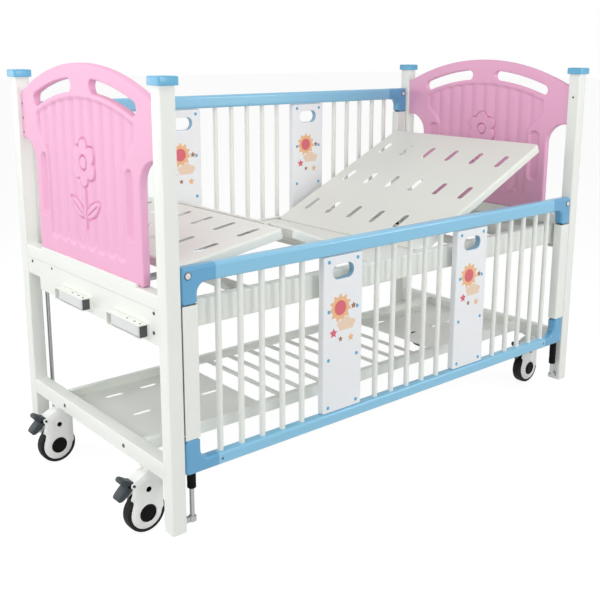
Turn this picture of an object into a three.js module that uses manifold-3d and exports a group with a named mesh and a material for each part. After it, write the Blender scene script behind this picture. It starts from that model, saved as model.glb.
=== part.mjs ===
// Pediatric hospital cot: a welded steel bed with sliding barred sides, fluted end panels,
// a four-section deck raised by two screw cranks, a lower shelf and four braked casters.
// Millimetres, +Z up, +X from foot to head, -Y is the near side. The floor is z = 0.

import * as THREE from 'three';
import { mergeVertices } from 'three/addons/utils/BufferGeometryUtils.js';
import Module from 'manifold-3d';

const wasm = await Module();
wasm.setup();

// Driving dimensions: posts and end frames
const LENGTH = 1900; // over the outer faces of the posts, foot to head
const WIDTH = 928; // over the outer faces of the posts, side to side
const POST = 46; // square post tube
const POST_CORNER = 4;
const TUBE_WALL = 2;
const POST_BOTTOM = 55;
const POST_TOP = 1290;
const CAP_OVERHANG = 7;
const CAP_HEIGHT = 24;
const CAP_EDGE = 4;
const CAP_PLUG = 26;
const PLUG_FIT = 0.4;
const RAIL_SETBACK = 2; // end rails lie this far behind the outer faces of the posts
const TOP_RAIL_BOTTOM = 697;
const TOP_RAIL_HEIGHT = 42;
const TOP_RAIL_DEPTH = 42;
const BOTTOM_RAIL_BOTTOM = 206;
const BOTTOM_RAIL_HEIGHT = 51;
const BOTTOM_RAIL_DEPTH = 44;
const APRON_HEIGHT = 100;
const APRON_SETBACK = 4;
const APRON_SHEET = 3;
const APRON_RETURN = 12;
const LIP_HEIGHT = 10;
const LIP_SHORT = 20; // the lip stops this far from the ends of the panel's foot

// Driving dimensions: end panels
const PANEL_SETBACK = 13; // front face of the panel behind the outer faces of the posts
const PANEL_THICK = 25;
const PANEL_FIT = 0.5;
const SHOULDER_DROP = 50; // from the tops of the posts to the panel's shoulders
const ARCH_RISE = 100; // from the shoulders to the apex
const NOTCH_DROP = 145; // from the shoulders to the tops of the notches
const NOTCH_DEPTH = 91.5;
const NOTCH_RADIUS = 80;
const HANDLE_INSET = 42; // from the arched top edge to the handle slot
const HANDLE_HEIGHT = 40;
const HANDLE_NEAR = 78; // centre of the slot's inner end, from the middle of the panel
const HANDLE_END = 119.5; // centre of the slot's outer end, from the panel's side
const FLUTE_COUNT = 9;
const FLUTE_MARGIN = 44; // between the outer flutes and the oblong recesses
const FLUTE_WIDTH = 40;
const FLUTE_DEPTH = 2.5;
const FLUTE_RISE = 61; // from the upper rail to the flutes' lower ends
const FLUTE_TOP_INSET = 98; // from the arched top edge to the flutes' upper ends
const OBLONG_INSET = 58; // from the sides of the panel's foot
const OBLONG_WIDTH = 18;
const OBLONG_DEPTH = 6;
const OBLONG_RISE = 127; // from the upper rail to the recesses' lower ends
const OBLONG_DROP = 31; // from the tops of the notches to the recesses' upper ends

// Driving dimensions: bed frame and deck
const BEAM_LAP = 9; // the side beams meet the upper end rails over this height
const BEAM_HEIGHT = 78;
const BEAM_FLANGE = 28;
const BEAM_WALL = 2.5;
const BEAM_CLEAR = 5; // between the side beams and the line of the posts' inner faces
const CROSS_HEIGHT = 26;
const CROSS_WIDTH = 34;
const DECK_DROP = 2; // the deck lies this far below the tops of the side beams
const DECK_CLEAR = 3; // between the deck and the side beams
const DECK_DEPTH = 30; // from the top of the deck to the cross channels under it
const DECK_SHEET = 2;
const DECK_CORNER = 18;
const DECK_REST = 0.4; // a lowered section clears the frame by this much
const HINGE_DEPTH = 8; // hinge axes below the top of the deck
const HINGE_ROD = 3;
const HINGE_FIT = 0.4;
const HINGE_EYE = 5.2;
const EAR_LENGTH = 27;
const EAR_THICK = 8;
const FIXED_EAR = 300;
const MOVING_EAR = 286;
const FIXED_EDGE = 7; // edge of the fixed sheet from the hinge axis
const MOVING_EDGE = 4; // edge of the moving sheet from the hinge axis
const BACK_HINGE_X = 108;
const THIGH_HINGE_X = -106;
const BACK_END = 87; // end of the lowered back, from the head posts' outer faces
const THIGH_LENGTH = 392;
const CALF_END = 62; // end of the lowered calf, from the foot posts' outer faces
const KNEE_CLEAR = 20; // both sheets stop this far from the knee axis
const BACK_ANGLE = 25.3; // as the photograph shows the sections, in degrees
const THIGH_ANGLE = 23.6;
const CALF_ANGLE = 9;
const BACK_TRAVEL = 70;
const THIGH_TRAVEL = 35;
const SLOT_LENGTH = 84;
const SLOT_WIDTH = 22;
const SLOT_PITCH = 124;
const SLOTS_ACROSS = 6;
const BACK_SLOT_ROWS = [139, 371]; // middles of the slots, from the hinge axis
const BACK_SLOT_END = 150; // the last row, from the back's free end
const THIGH_SLOT_ROWS = [196];
const CALF_SLOT_ROWS = [100];
const CALF_SLOT_END = 135;

// Driving dimensions: cranks, screws and push tubes
const APRON_NOTCH = 86; // cut from the foot apron's far lower corner, beside the guide rod
const APRON_NOTCH_RISE = 42;
const CRANK_RISE = 34; // screw axes above the foot apron's lower edge
const BACK_CRANK_INSET = 330; // from the far posts' outer faces
const KNEE_CRANK_INSET = 263; // from the near posts' outer faces
const CRANK_PLATE = 2.5;
const ARM_HEIGHT = 38;
const ARM_DEPTH = 29;
const ARM_WALL = 2.5;
const ARM_REACH = 164;
const ARM_TAIL = 20;
const ARM_FIT = 0.3;
const GRIP_FIT = 1.2;
const GRIP_LENGTH = 150;
const GRIP_PIN = 4;
const SCREW_RADIUS = 7;
const SCREW_FIT = 0.5;
const SCREW_LENGTH = 345;
const BEARING_RADIUS = 16;
const BEARING_LENGTH = 16;
const PUSH_RADIUS = 13;
const PUSH_BORE = 10;
const PUSH_START = 150; // from the foot posts' outer face, with the section as drawn
const NUT_LENGTH = 32;
const LEVER_RADIUS = 90; // hinge axis to drive pin
const LEVER_THICK = 6;
const LEVER_GAP = 1.2;
const DRIVE_PIN = 4;
const YOKE_PLAY = 2.6;
const YOKE_THICK = 8;
const YOKE_BACK = 48;

// Driving dimensions: calf stay
const STAY_PIVOT_BACK = 94; // pivot from the knee axis of the lowered deck, towards the foot
const STAY_PIVOT_DROP = 48; // pivot below the top of the deck
const STAY_HALF = 250;
const STAY_BAR = 6;
const STAY_ARM = 6;
const STAY_ARM_DEPTH = 10;
const STAY_PIN = 4;
const STAY_SHORT = 50; // the stay's cross bar lies this far from the calf's free end
const STAY_GAP = 0.9;

// Driving dimensions: sliding sides
const SIDE_CLEAR = 3.5; // between a side and the posts
const SIDE_DEPTH = 36;
const SIDE_BOTTOM = 220; // of the lowered near side
const SIDE_HEIGHT = 596;
const SIDE_UP_DROP = 82; // top of a raised side, below the tops of the posts
const SIDE_TOP_RAIL = 48;
const SIDE_BOTTOM_RAIL = 38;
const SIDE_EDGE = 9;
const CORNER_HEIGHT = 106;
const CORNER_FILLET = 30;
const FILLET_STEPS = 4;
const STILE = 50;
const STILE_FIT = 0.3;
const STILE_WALL = 2.5; // the stiles are channels, open towards the posts
const BAR_RADIUS = 9;
const BARS_PER_BAY = 5;
const FLAT_WIDTH = 16;
const FLAT_THICK = 4; // of the bars' end flats, inside the rails
const FLAT_SHOW = 2; // of the flats, clear of the rails
const TONGUE = 20; // stile's tongue inside the corner mouldings
const GROOVE_FIT = 0.6;
const SIDE_PANEL_WIDTH = 164;
const SIDE_PANEL_THICK = 24;
const SIDE_PANEL_FIT = 0.3;
const HAND_HOLE_WIDTH = 90;
const HAND_HOLE_HEIGHT = 48;
const HAND_HOLE_DROP = 54; // from the panel's top to the middle of the hole
const ROD_RADIUS = 7;
const ROD_INSET = 75; // rod axis from the outer face of the end posts
const ROD_BOTTOM = 72;
const ROD_SHORT = 41; // the rods end this far below the top of a lowered side
const ROD_FIT = 0.5;
const ROD_FOOT_RADIUS = 12;
const ROD_FOOT_HEIGHT = 16;
const STILE_BORE = 8;
const BORE_SPARE = 5; // the bores run this far past the tops of the rods
const BUSH_RADIUS = 13;
const FOOT_BUSH = 45;
const HEAD_BUSH = 90;

// Driving dimensions: lower shelf
const SHELF_INSET = 208; // from the outer faces of the sides' posts
const SHELF_RISE = 16; // above the undersides of the lower end rails
const SHELF_RIM = 38;
const SHELF_FLANGE = 22;
const SHELF_SHEET = 2.5;
const SHELF_PLATE = 476; // length of each solid end plate
const SLAT_COUNT = 8;
const SLAT_WIDTH = 26;
const SHELF_SLOT_LENGTH = 62;
const SHELF_SLOT_WIDTH = 16;
const SHELF_SLOT_ROWS = [-186, 0, 186];
const SHELF_SLOT_COLUMNS = [132, 264, 396];

// Driving dimensions: casters
const CASTER_INSET = 172; // stem axis from the outer face of the side
const CASTER_TRAIL = 16;
const WHEEL_RADIUS = 62.5;
const TYRE_WIDTH = 36;
const TYRE_EDGE = 8;
const HUB_RADIUS = 23;
const HUB_FIT = 0.7;
const SHELL_RADIUS = 55;
const SHELL_WALL = 6;
const SHELL_GAP = 2;
const HOOD_DROP = 14; // the casters' hoods end this far below the lower end rails
const HOOD_HALF = 34;
const HOOD_CLEAR = 5; // between the tyre and the hood
const STEM_RADIUS = 11;
const STEM_FIT = 0.3;
const STEM_FLANGE = 22;
const FLANGE_THICK = 4;
const PEDAL_WIDTH = 40;
const PEDAL_FIT = 0.4;
const PEDAL_PIN = 4;
const PEDAL_PIVOT = [-58, 160]; // from the stem axis, and above the floor
const ROUND = 8; // sides of pins, rods and bars
const ROUND_FINE = 12; // sides of the screws and what turns on them
const ROUND_HUB = 12;

const HALF_L = LENGTH / 2;
const HALF_W = WIDTH / 2;
const DEG = Math.PI / 180;

// Places that follow from these sizes
const RAIL_TOP = TOP_RAIL_BOTTOM + TOP_RAIL_HEIGHT;
const APRON_BOTTOM = TOP_RAIL_BOTTOM - APRON_HEIGHT;
const PANEL_HALF = HALF_W - POST - PANEL_FIT;
const PANEL_FOOT_HALF = PANEL_HALF - NOTCH_DEPTH;
const PANEL_SHOULDER = POST_TOP - SHOULDER_DROP;
const PANEL_APEX = PANEL_SHOULDER + ARCH_RISE;
const NOTCH_HEIGHT = PANEL_SHOULDER - NOTCH_DROP;
const HANDLE_FAR = PANEL_HALF - HANDLE_END;
const OBLONG_Y = PANEL_FOOT_HALF - OBLONG_INSET;
const OBLONG_BOTTOM = RAIL_TOP + OBLONG_RISE;
const OBLONG_TOP = NOTCH_HEIGHT - OBLONG_DROP;
const FLUTE_BOTTOM = RAIL_TOP + FLUTE_RISE;
const FLUTE_PITCH = (2 * (OBLONG_Y - FLUTE_MARGIN)) / (FLUTE_COUNT - 1);
const BEAM_TOP = TOP_RAIL_BOTTOM + BEAM_LAP;
const BEAM_OUTER = HALF_W - POST - BEAM_CLEAR;
const DECK_TOP = BEAM_TOP - DECK_DROP;
const DECK_HALF = BEAM_OUTER - BEAM_FLANGE - DECK_CLEAR;
const BACK_LENGTH = HALF_L - BACK_END - BACK_HINGE_X;
const CALF_LENGTH = HALF_L - CALF_END + THIGH_HINGE_X - THIGH_LENGTH;
const CRANK_Z = APRON_BOTTOM + CRANK_RISE;
const BACK_CRANK_Y = HALF_W - BACK_CRANK_INSET;
const KNEE_CRANK_Y = KNEE_CRANK_INSET - HALF_W;
const STAY_PIVOT_X = THIGH_HINGE_X - THIGH_LENGTH - STAY_PIVOT_BACK;
const STAY_PIVOT_Z = DECK_TOP - STAY_PIVOT_DROP;
const STAY_CONTACT = CALF_LENGTH - STAY_SHORT;
const SIDE_TRAVEL = POST_TOP - SIDE_UP_DROP - SIDE_BOTTOM - SIDE_HEIGHT;
const ROD_TOP = SIDE_BOTTOM + SIDE_HEIGHT - ROD_SHORT;
const SHELF_HALF = HALF_W - SHELF_INSET;
const SHELF_BOTTOM = BOTTOM_RAIL_BOTTOM + SHELF_RISE;
const HOOD_TOP = BOTTOM_RAIL_BOTTOM - HOOD_DROP;

// Finishes
const finish = (color, roughness, metalness) =>
  new THREE.MeshStandardMaterial({ color, roughness, metalness });
const WHITE_PAINT = finish(0xe9ebe4, 0.35, 0.1);
const BLUE_PLASTIC = finish(0x8cc8e8, 0.3, 0);
const PINK_PLASTIC = finish(0xf4bcdc, 0.35, 0);
const WHITE_PLASTIC = finish(0xf0f2f5, 0.35, 0);
const BLACK_PLASTIC = finish(0x141414, 0.5, 0);
const DARK_PLASTIC = finish(0x3c464b, 0.45, 0);
const STEEL = finish(0xa8aaac, 0.3, 1);

// Solid helpers: three.js geometry in, closed solids out
function solid(geometry) {
  const bare = geometry.clone();
  bare.deleteAttribute('normal');
  bare.deleteAttribute('uv');
  const merged = mergeVertices(bare, 1e-4);
  return new wasm.Manifold(new wasm.Mesh({
    numProp: 3,
    vertProperties: Float32Array.from(merged.attributes.position.array),
    triVerts: Uint32Array.from(merged.index.array),
  }));
}

const join = (...parts) => parts.reduce((whole, part) => whole.add(part));
const cut = (body, ...tools) => tools.reduce((left, tool) => left.subtract(tool), body);

function block(x0, x1, y0, y1, z0, z1) {
  const size = [Math.abs(x1 - x0), Math.abs(y1 - y0), Math.abs(z1 - z0)];
  const geometry = new THREE.BoxGeometry(...size);
  geometry.translate((x0 + x1) / 2, (y0 + y1) / 2, (z0 + z1) / 2);
  return solid(geometry);
}

// A shape drawn in x and y, carried up from z0 to z1; bevel rounds both ends
function prismZ(shape, z0, z1, bevel = 0, curveSegments = 1) {
  const geometry = new THREE.ExtrudeGeometry(shape, {
    depth: z1 - z0 - 2 * bevel,
    bevelEnabled: bevel > 0,
    bevelSize: bevel,
    bevelOffset: -bevel,
    bevelThickness: bevel,
    bevelSegments: 1,
    curveSegments,
  });
  geometry.translate(0, 0, z0 + bevel);
  return geometry;
}

const ALONG_X = new THREE.Matrix4().set(0, 0, 1, 0, 1, 0, 0, 0, 0, 1, 0, 0, 0, 0, 0, 1);
const ALONG_Y = new THREE.Matrix4().set(1, 0, 0, 0, 0, 0, -1, 0, 0, 1, 0, 0, 0, 0, 0, 1);

// A shape drawn in y and z, carried along x
const prismX = (shape, x0, x1, bevel, segments) =>
  solid(prismZ(shape, x0, x1, bevel, segments).applyMatrix4(ALONG_X));

// A shape drawn in x and z, carried along y
const prismY = (shape, y0, y1, bevel, segments) =>
  solid(prismZ(shape, -y1, -y0, bevel, segments).applyMatrix4(ALONG_Y));

const upright = (shape, z0, z1, bevel, segments) => solid(prismZ(shape, z0, z1, bevel, segments));

function polygon(points) {
  return new THREE.Shape(points.map(([a, b]) => new THREE.Vector2(a, b)));
}

function roundedRect(x0, x1, y0, y1, radius) {
  const shape = new THREE.Shape();
  shape.moveTo(x0 + radius, y0);
  shape.lineTo(x1 - radius, y0);
  shape.absarc(x1 - radius, y0 + radius, radius, -Math.PI / 2, 0);
  shape.lineTo(x1, y1 - radius);
  shape.absarc(x1 - radius, y1 - radius, radius, 0, Math.PI / 2);
  shape.lineTo(x0 + radius, y1);
  shape.absarc(x0 + radius, y1 - radius, radius, Math.PI / 2, Math.PI);
  shape.lineTo(x0, y0 + radius);
  shape.absarc(x0 + radius, y0 + radius, radius, Math.PI, 1.5 * Math.PI);
  return shape;
}

const rect = (x0, x1, y0, y1) => polygon([[x0, y0], [x1, y0], [x1, y1], [x0, y1]]);

const stadium = (x0, x1, y0, y1) =>
  roundedRect(x0, x1, y0, y1, Math.min(x1 - x0, y1 - y0) / 2 - 0.01);

// A long hole with four cut corners
function oblong(x0, x1, y0, y1) {
  const c = Math.min(x1 - x0, y1 - y0) * 0.32;
  return polygon([
    [x0 + c, y0], [x1 - c, y0], [x1, y0 + c], [x1, y1 - c],
    [x1 - c, y1], [x0 + c, y1], [x0, y1 - c], [x0, y0 + c],
  ]);
}

// A groove that runs up to a straight top from a rounded foot
function flute(y, half, z0, z1) {
  const turn = 0.7 * half;
  return polygon([
    [y - half, z1], [y - half, z0 + half], [y - turn, z0 + half - turn], [y, z0],
    [y + turn, z0 + half - turn], [y + half, z0 + half], [y + half, z1],
  ]);
}

function disc(x, y, radius) {
  const shape = new THREE.Shape();
  shape.absarc(x, y, radius, 0, 2 * Math.PI);
  return shape;
}

const roundX = (y, z, radius, x0, x1, sides = ROUND) =>
  prismX(disc(y, z, radius), x0, x1, 0, sides / 2);
const roundY = (x, z, radius, y0, y1, sides = ROUND) =>
  prismY(disc(x, z, radius), y0, y1, 0, sides / 2);
const roundZ = (x, y, radius, z0, z1, sides = ROUND) =>
  upright(disc(x, y, radius), z0, z1, 0, sides / 2);

function hollow(outer, inner) {
  outer.holes.push(inner);
  return outer;
}

const cot = new THREE.Group();

function part(name, body, material, parent = cot) {
  const { numProp, vertProperties, triVerts } = body.getMesh();
  const geometry = new THREE.BufferGeometry();
  const positions = new Float32Array((vertProperties.length / numProp) * 3);
  for (let i = 0; i < positions.length / 3; i += 1) {
    positions.set(vertProperties.subarray(i * numProp, i * numProp + 3), i * 3);
  }
  geometry.setAttribute('position', new THREE.BufferAttribute(positions, 3));
  geometry.setIndex(new THREE.BufferAttribute(Uint32Array.from(triVerts), 1));
  geometry.computeVertexNormals();
  const mesh = new THREE.Mesh(geometry, material);
  mesh.name = name;
  parent.add(mesh);
  return mesh;
}

function group(parent, x, y, z, turnY = 0) {
  const made = new THREE.Group();
  made.position.set(x, y, z);
  made.rotation.y = turnY;
  parent.add(made);
  return made;
}

const ENDS = [['foot', -1], ['head', 1]];
const SIDES = [['near', -1], ['far', 1]];
const eachCorner = (make) =>
  ENDS.forEach(([end, sx]) => SIDES.forEach(([side, sy]) => make(`${end}_${side}`, sx, sy)));

// Corner posts: square tube, open at the foot, with a moulded cap plugged into the top
function postsAndCaps() {
  const half = POST / 2;
  const bore = half - TUBE_WALL;
  const tube = hollow(
    roundedRect(-half, half, -half, half, POST_CORNER),
    rect(-bore, bore, -bore, bore),
  );
  const capHalf = half + CAP_OVERHANG;
  const plug = bore - PLUG_FIT;
  const capShape = roundedRect(-capHalf, capHalf, -capHalf, capHalf, 2 * CAP_EDGE);
  eachCorner((corner, sx, sy) => {
    const place = group(cot, sx * (HALF_L - half), sy * (HALF_W - half), 0);
    part(`post_${corner}`, upright(tube, POST_BOTTOM, POST_TOP), WHITE_PAINT, place);
    const cap = join(
      upright(capShape, POST_TOP, POST_TOP + CAP_HEIGHT, CAP_EDGE),
      block(-plug, plug, -plug, plug, POST_TOP - CAP_PLUG, POST_TOP + CAP_EDGE),
    );
    part(`cap_${corner}`, cap, BLUE_PLASTIC, place);
  });
}

// Arch of the end panels' top edge: a circle through the apex and both shoulders
const ARCH_RADIUS = (PANEL_HALF ** 2 + ARCH_RISE ** 2) / (2 * ARCH_RISE);
const ARCH_CENTRE = PANEL_APEX - ARCH_RADIUS;
const archHeight = (y, inset) =>
  ARCH_CENTRE + Math.sqrt((ARCH_RADIUS - inset) ** 2 - y ** 2);

// End rails: two square tubes between the posts; the upper one has a lip that holds the panel
function endRails() {
  const span = HALF_W - POST;
  const lipHalf = PANEL_FOOT_HALF - LIP_SHORT;
  const lipDepth = PANEL_SETBACK - RAIL_SETBACK - PANEL_FIT;
  ENDS.forEach(([end, sx]) => {
    const outer = sx * (HALF_L - RAIL_SETBACK);
    const tube = (depth, z0, height) => {
      const inner = outer - sx * depth;
      const [x0, x1] = [Math.min(outer, inner), Math.max(outer, inner)];
      return prismY(hollow(
        roundedRect(x0, x1, z0, z0 + height, POST_CORNER),
        rect(x0 + TUBE_WALL, x1 - TUBE_WALL, z0 + TUBE_WALL, z0 + height - TUBE_WALL),
      ), -span, span);
    };
    const lip = block(
      outer, outer - sx * lipDepth, -lipHalf, lipHalf,
      RAIL_TOP - POST_CORNER, RAIL_TOP + LIP_HEIGHT,
    );
    const upper = join(tube(TOP_RAIL_DEPTH, TOP_RAIL_BOTTOM, TOP_RAIL_HEIGHT), lip);
    const plate = end === 'head' ? join(upper, apronPlate(sx)) : upper;
    part(`end_top_rail_${end}`, plate, WHITE_PAINT);
    part(
      `end_bottom_rail_${end}`,
      tube(BOTTOM_RAIL_DEPTH, BOTTOM_RAIL_BOTTOM, BOTTOM_RAIL_HEIGHT),
      WHITE_PAINT,
    );
  });
}

// Apron: a folded sheet under the upper end rail, with a return along its lower edge
function apronPlate(sx) {
  const outer = sx * (HALF_L - APRON_SETBACK);
  const inner = outer - sx * APRON_SHEET;
  const span = HALF_W - POST;
  const top = sx > 0 ? TOP_RAIL_BOTTOM + TUBE_WALL : TOP_RAIL_BOTTOM;
  return join(
    block(outer, inner, -span, span, APRON_BOTTOM, top),
    block(outer, inner - sx * APRON_RETURN, -span, span, APRON_BOTTOM, APRON_BOTTOM + APRON_SHEET),
  );
}

// The foot apron also carries the two crank plates and the screw bearings
function footApron() {
  const outer = -(HALF_L - APRON_SETBACK);
  const inner = outer + APRON_SHEET;
  const margin = ARM_HEIGHT / 6;
  const halfPlate = ARM_HEIGHT / 2 + margin;
  const far = HALF_W - POST;
  const ledge = APRON_BOTTOM + APRON_NOTCH_RISE;
  const notch = [outer - 1, inner + APRON_RETURN + 1, far - APRON_NOTCH, far + 1];
  let apron = join(
    cut(apronPlate(-1), block(...notch, APRON_BOTTOM - 1, ledge)),
    block(outer, inner + APRON_RETURN, far - APRON_NOTCH, far, ledge, ledge + APRON_SHEET),
  );
  [BACK_CRANK_Y, KNEE_CRANK_Y].forEach((y) => {
    const plate = rect(
      y - ARM_REACH - margin, y + ARM_TAIL + margin, CRANK_Z - halfPlate, CRANK_Z + halfPlate,
    );
    apron = join(
      apron,
      prismX(plate, outer - CRANK_PLATE, outer + APRON_SHEET / 2),
      roundX(y, CRANK_Z, BEARING_RADIUS, inner - APRON_SHEET / 2, inner + BEARING_LENGTH, ROUND_FINE),
    );
    apron = cut(apron, roundX(
      y, CRANK_Z, SCREW_RADIUS + SCREW_FIT,
      outer - 2 * CRANK_PLATE, inner + BEARING_LENGTH + CRANK_PLATE, ROUND_FINE,
    ));
  });
  part('foot_apron', apron, WHITE_PAINT);
}

// Fluted end panel: arched top, two handle slots, rounded notches beside the posts
function endPanels() {
  const foot = RAIL_TOP;
  const a = PANEL_FOOT_HALF;
  const b = PANEL_HALF;
  const spring = Math.atan2(PANEL_SHOULDER - ARCH_CENTRE, b);
  const outline = new THREE.Shape();
  outline.moveTo(-a, foot);
  outline.lineTo(a, foot);
  outline.lineTo(a, NOTCH_HEIGHT - NOTCH_RADIUS);
  outline.absarc(
    a + NOTCH_RADIUS, NOTCH_HEIGHT - NOTCH_RADIUS, NOTCH_RADIUS, Math.PI, Math.PI / 2, true,
  );
  outline.lineTo(b, NOTCH_HEIGHT);
  outline.absarc(0, ARCH_CENTRE, ARCH_RADIUS, spring, Math.PI - spring);
  outline.lineTo(-b, NOTCH_HEIGHT);
  outline.absarc(-a - NOTCH_RADIUS, NOTCH_HEIGHT - NOTCH_RADIUS, NOTCH_RADIUS, Math.PI / 2, 0, true);
  const slotRadius = ARCH_RADIUS - HANDLE_INSET - HANDLE_HEIGHT / 2;
  const angleAt = (y) => Math.acos(y / slotRadius);
  SIDES.forEach(([, sy]) => {
    const ends = [angleAt(sy * HANDLE_FAR), angleAt(sy * HANDLE_NEAR)].sort((p, q) => p - q);
    outline.holes.push(arcSlot(slotRadius, HANDLE_HEIGHT / 2, ends[0], ends[1]));
  });
  ENDS.forEach(([end, sx]) => {
    const outer = sx * (HALF_L - PANEL_SETBACK);
    const inner = outer - sx * PANEL_THICK;
    const [x0, x1] = [Math.min(outer, inner), Math.max(outer, inner)];
    let panel = prismX(outline, x0, x1, 0, 5);
    const recess = (shape, depth) => {
      panel = cut(
        panel,
        prismX(shape, x0 - depth, x0 + depth),
        prismX(shape, x1 - depth, x1 + depth),
      );
    };
    for (let k = 0; k < FLUTE_COUNT; k += 1) {
      const y = (k - (FLUTE_COUNT - 1) / 2) * FLUTE_PITCH;
      const top = archHeight(y, FLUTE_TOP_INSET);
      recess(flute(y, FLUTE_WIDTH / 2, FLUTE_BOTTOM, top), FLUTE_DEPTH);
    }
    SIDES.forEach(([, sy]) => {
      const y = sy * OBLONG_Y;
      const half = OBLONG_WIDTH / 2;
      recess(oblong(y - half, y + half, OBLONG_BOTTOM, OBLONG_TOP), OBLONG_DEPTH);
    });
    part(`end_panel_${end}`, panel, PINK_PLASTIC);
  });
}

// A slot that follows the arch, with round ends
function arcSlot(radius, half, from, to) {
  const path = new THREE.Path();
  const at = (angle, r) => [r * Math.cos(angle), ARCH_CENTRE + r * Math.sin(angle)];
  path.absarc(0, ARCH_CENTRE, radius + half, from, to);
  path.absarc(...at(to, radius), half, to, to + Math.PI);
  path.absarc(0, ARCH_CENTRE, radius - half, to, from, true);
  path.absarc(...at(from, radius), half, from + Math.PI, from + 2 * Math.PI);
  return path;
}

// Bed frame: two channel beams joined by channels, with lugs for the calf stay
const HINGE_Z = DECK_TOP - HINGE_DEPTH;
const CROSS_TOP = DECK_TOP - DECK_DEPTH;
function bedFrame() {
  const reach = HALF_L - RAIL_SETBACK - TOP_RAIL_DEPTH;
  const bottom = BEAM_TOP - BEAM_HEIGHT;
  const crossAt = [
    -reach + CROSS_WIDTH / 2,
    STAY_PIVOT_X + STAY_ARM_DEPTH + CROSS_WIDTH / 2,
    (BACK_HINGE_X + THIGH_HINGE_X) / 2,
    BACK_HINGE_X + BACK_LENGTH / 2,
    reach - CROSS_WIDTH / 2,
  ];
  const beam = (sy) => {
    const web = sy * BEAM_OUTER;
    const lip = sy * (BEAM_OUTER - BEAM_FLANGE);
    return join(
      block(-reach, reach, web, web - sy * BEAM_WALL, bottom, BEAM_TOP),
      block(-reach, reach, web, lip, BEAM_TOP - BEAM_WALL, BEAM_TOP),
      block(-reach, reach, web, lip, bottom, bottom + BEAM_WALL),
    );
  };
  const cross = (x) => {
    const half = CROSS_WIDTH / 2;
    const low = CROSS_TOP - CROSS_HEIGHT;
    const edge = BEAM_OUTER - BEAM_WALL / 2;
    return join(
      block(x - half, x + half, -edge, edge, CROSS_TOP - BEAM_WALL, CROSS_TOP),
      block(x - half, x - half + BEAM_WALL, -edge, edge, low, CROSS_TOP),
      block(x + half - BEAM_WALL, x + half, -edge, edge, low, CROSS_TOP),
    );
  };
  let frame = join(beam(-1), beam(1), ...crossAt.map(cross));
  SIDES.forEach(([, sy]) => {
    const y = sy * (STAY_HALF - STAY_ARM - HINGE_FIT);
    const lug = roundedRect(
      STAY_PIVOT_X - 2 * STAY_PIN, crossAt[1] - CROSS_WIDTH / 2 + BEAM_WALL / 2,
      STAY_PIVOT_Z - 2 * STAY_PIN, STAY_PIVOT_Z + 2 * STAY_PIN, STAY_PIN,
    );
    const half = STAY_ARM / 2;
    const pinEnd = sy * (STAY_HALF + STAY_ARM);
    frame = join(
      frame,
      prismY(lug, y - half, y + half),
      roundY(STAY_PIVOT_X, STAY_PIVOT_Z, STAY_PIN, Math.min(y, pinEnd), Math.max(y, pinEnd)),
    );
  });
  part('bed_frame', frame, WHITE_PAINT);
}

// A deck section: folded sheet with side flanges, rounded corners and rows of oblong slots.
// x runs away from the hinge axis, which is x = 0, z = 0; sign says which way it points.
function deckSheet(sign, from, to, slotRows, endFlanges) {
  const top = HINGE_DEPTH;
  const bottom = CROSS_TOP + DECK_REST - HINGE_Z;
  const [x0, x1] = [Math.min(sign * from, sign * to), Math.max(sign * from, sign * to)];
  const outer = roundedRect(x0, x1, -DECK_HALF, DECK_HALF, DECK_CORNER);
  const inset = DECK_SHEET;
  const [openLow, openHigh] = endFlanges.map((has) => (has ? inset : -DECK_CORNER));
  const inner = roundedRect(
    x0 + (sign > 0 ? openLow : openHigh), x1 - (sign > 0 ? openHigh : openLow),
    -DECK_HALF + inset, DECK_HALF - inset, DECK_CORNER - inset,
  );
  let sheet = cut(
    upright(outer, bottom, top),
    upright(inner, bottom - DECK_CORNER, top - DECK_SHEET),
  );
  slotRows.forEach((row) => {
    for (let k = 0; k < SLOTS_ACROSS; k += 1) {
      const y = (k - (SLOTS_ACROSS - 1) / 2) * SLOT_PITCH;
      const x = sign * row;
      const slot = oblong(
        x - SLOT_LENGTH / 2, x + SLOT_LENGTH / 2, y - SLOT_WIDTH / 2, y + SLOT_WIDTH / 2,
      );
      sheet = cut(sheet, upright(slot, 0, 2 * top));
    }
  });
  return sheet;
}

// Eyes that turn on a hinge rod at x, under the sheet on the side that sign points to
function hingeEyes(x, sign, reach) {
  const under = HINGE_DEPTH - DECK_SHEET / 2;
  return join(...SIDES.map(([, sy]) => {
    const y0 = sy * MOVING_EAR - EAR_THICK / 2;
    const y1 = y0 + EAR_THICK;
    return cut(
      join(
        roundY(x, 0, HINGE_EYE, y0, y1),
        block(x + sign * HINGE_ROD, x + sign * reach, y0, y1, -HINGE_EYE, under),
      ),
      roundY(x, 0, HINGE_ROD + HINGE_FIT, y0 - 1, y1 + 1),
    );
  }));
}

// A hinge rod at x with the ears that carry it under the sheet on the side of sign
function hingeRod(x, sign, reach) {
  const under = HINGE_DEPTH - DECK_SHEET / 2;
  const end = FIXED_EAR + EAR_THICK;
  const near = x - sign * (HINGE_ROD - HINGE_FIT);
  const step = x + sign * FIXED_EDGE;
  const ears = SIDES.flatMap(([, sy]) => {
    const y0 = sy * FIXED_EAR - EAR_THICK / 2;
    const y1 = y0 + EAR_THICK;
    return [
      block(near, x + sign * reach, y0, y1, -HINGE_EYE, HINGE_ROD),
      block(step, x + sign * reach, y0, y1, 0, under),
    ];
  });
  return join(roundY(x, 0, HINGE_ROD, -end, end), ...ears);
}

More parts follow.
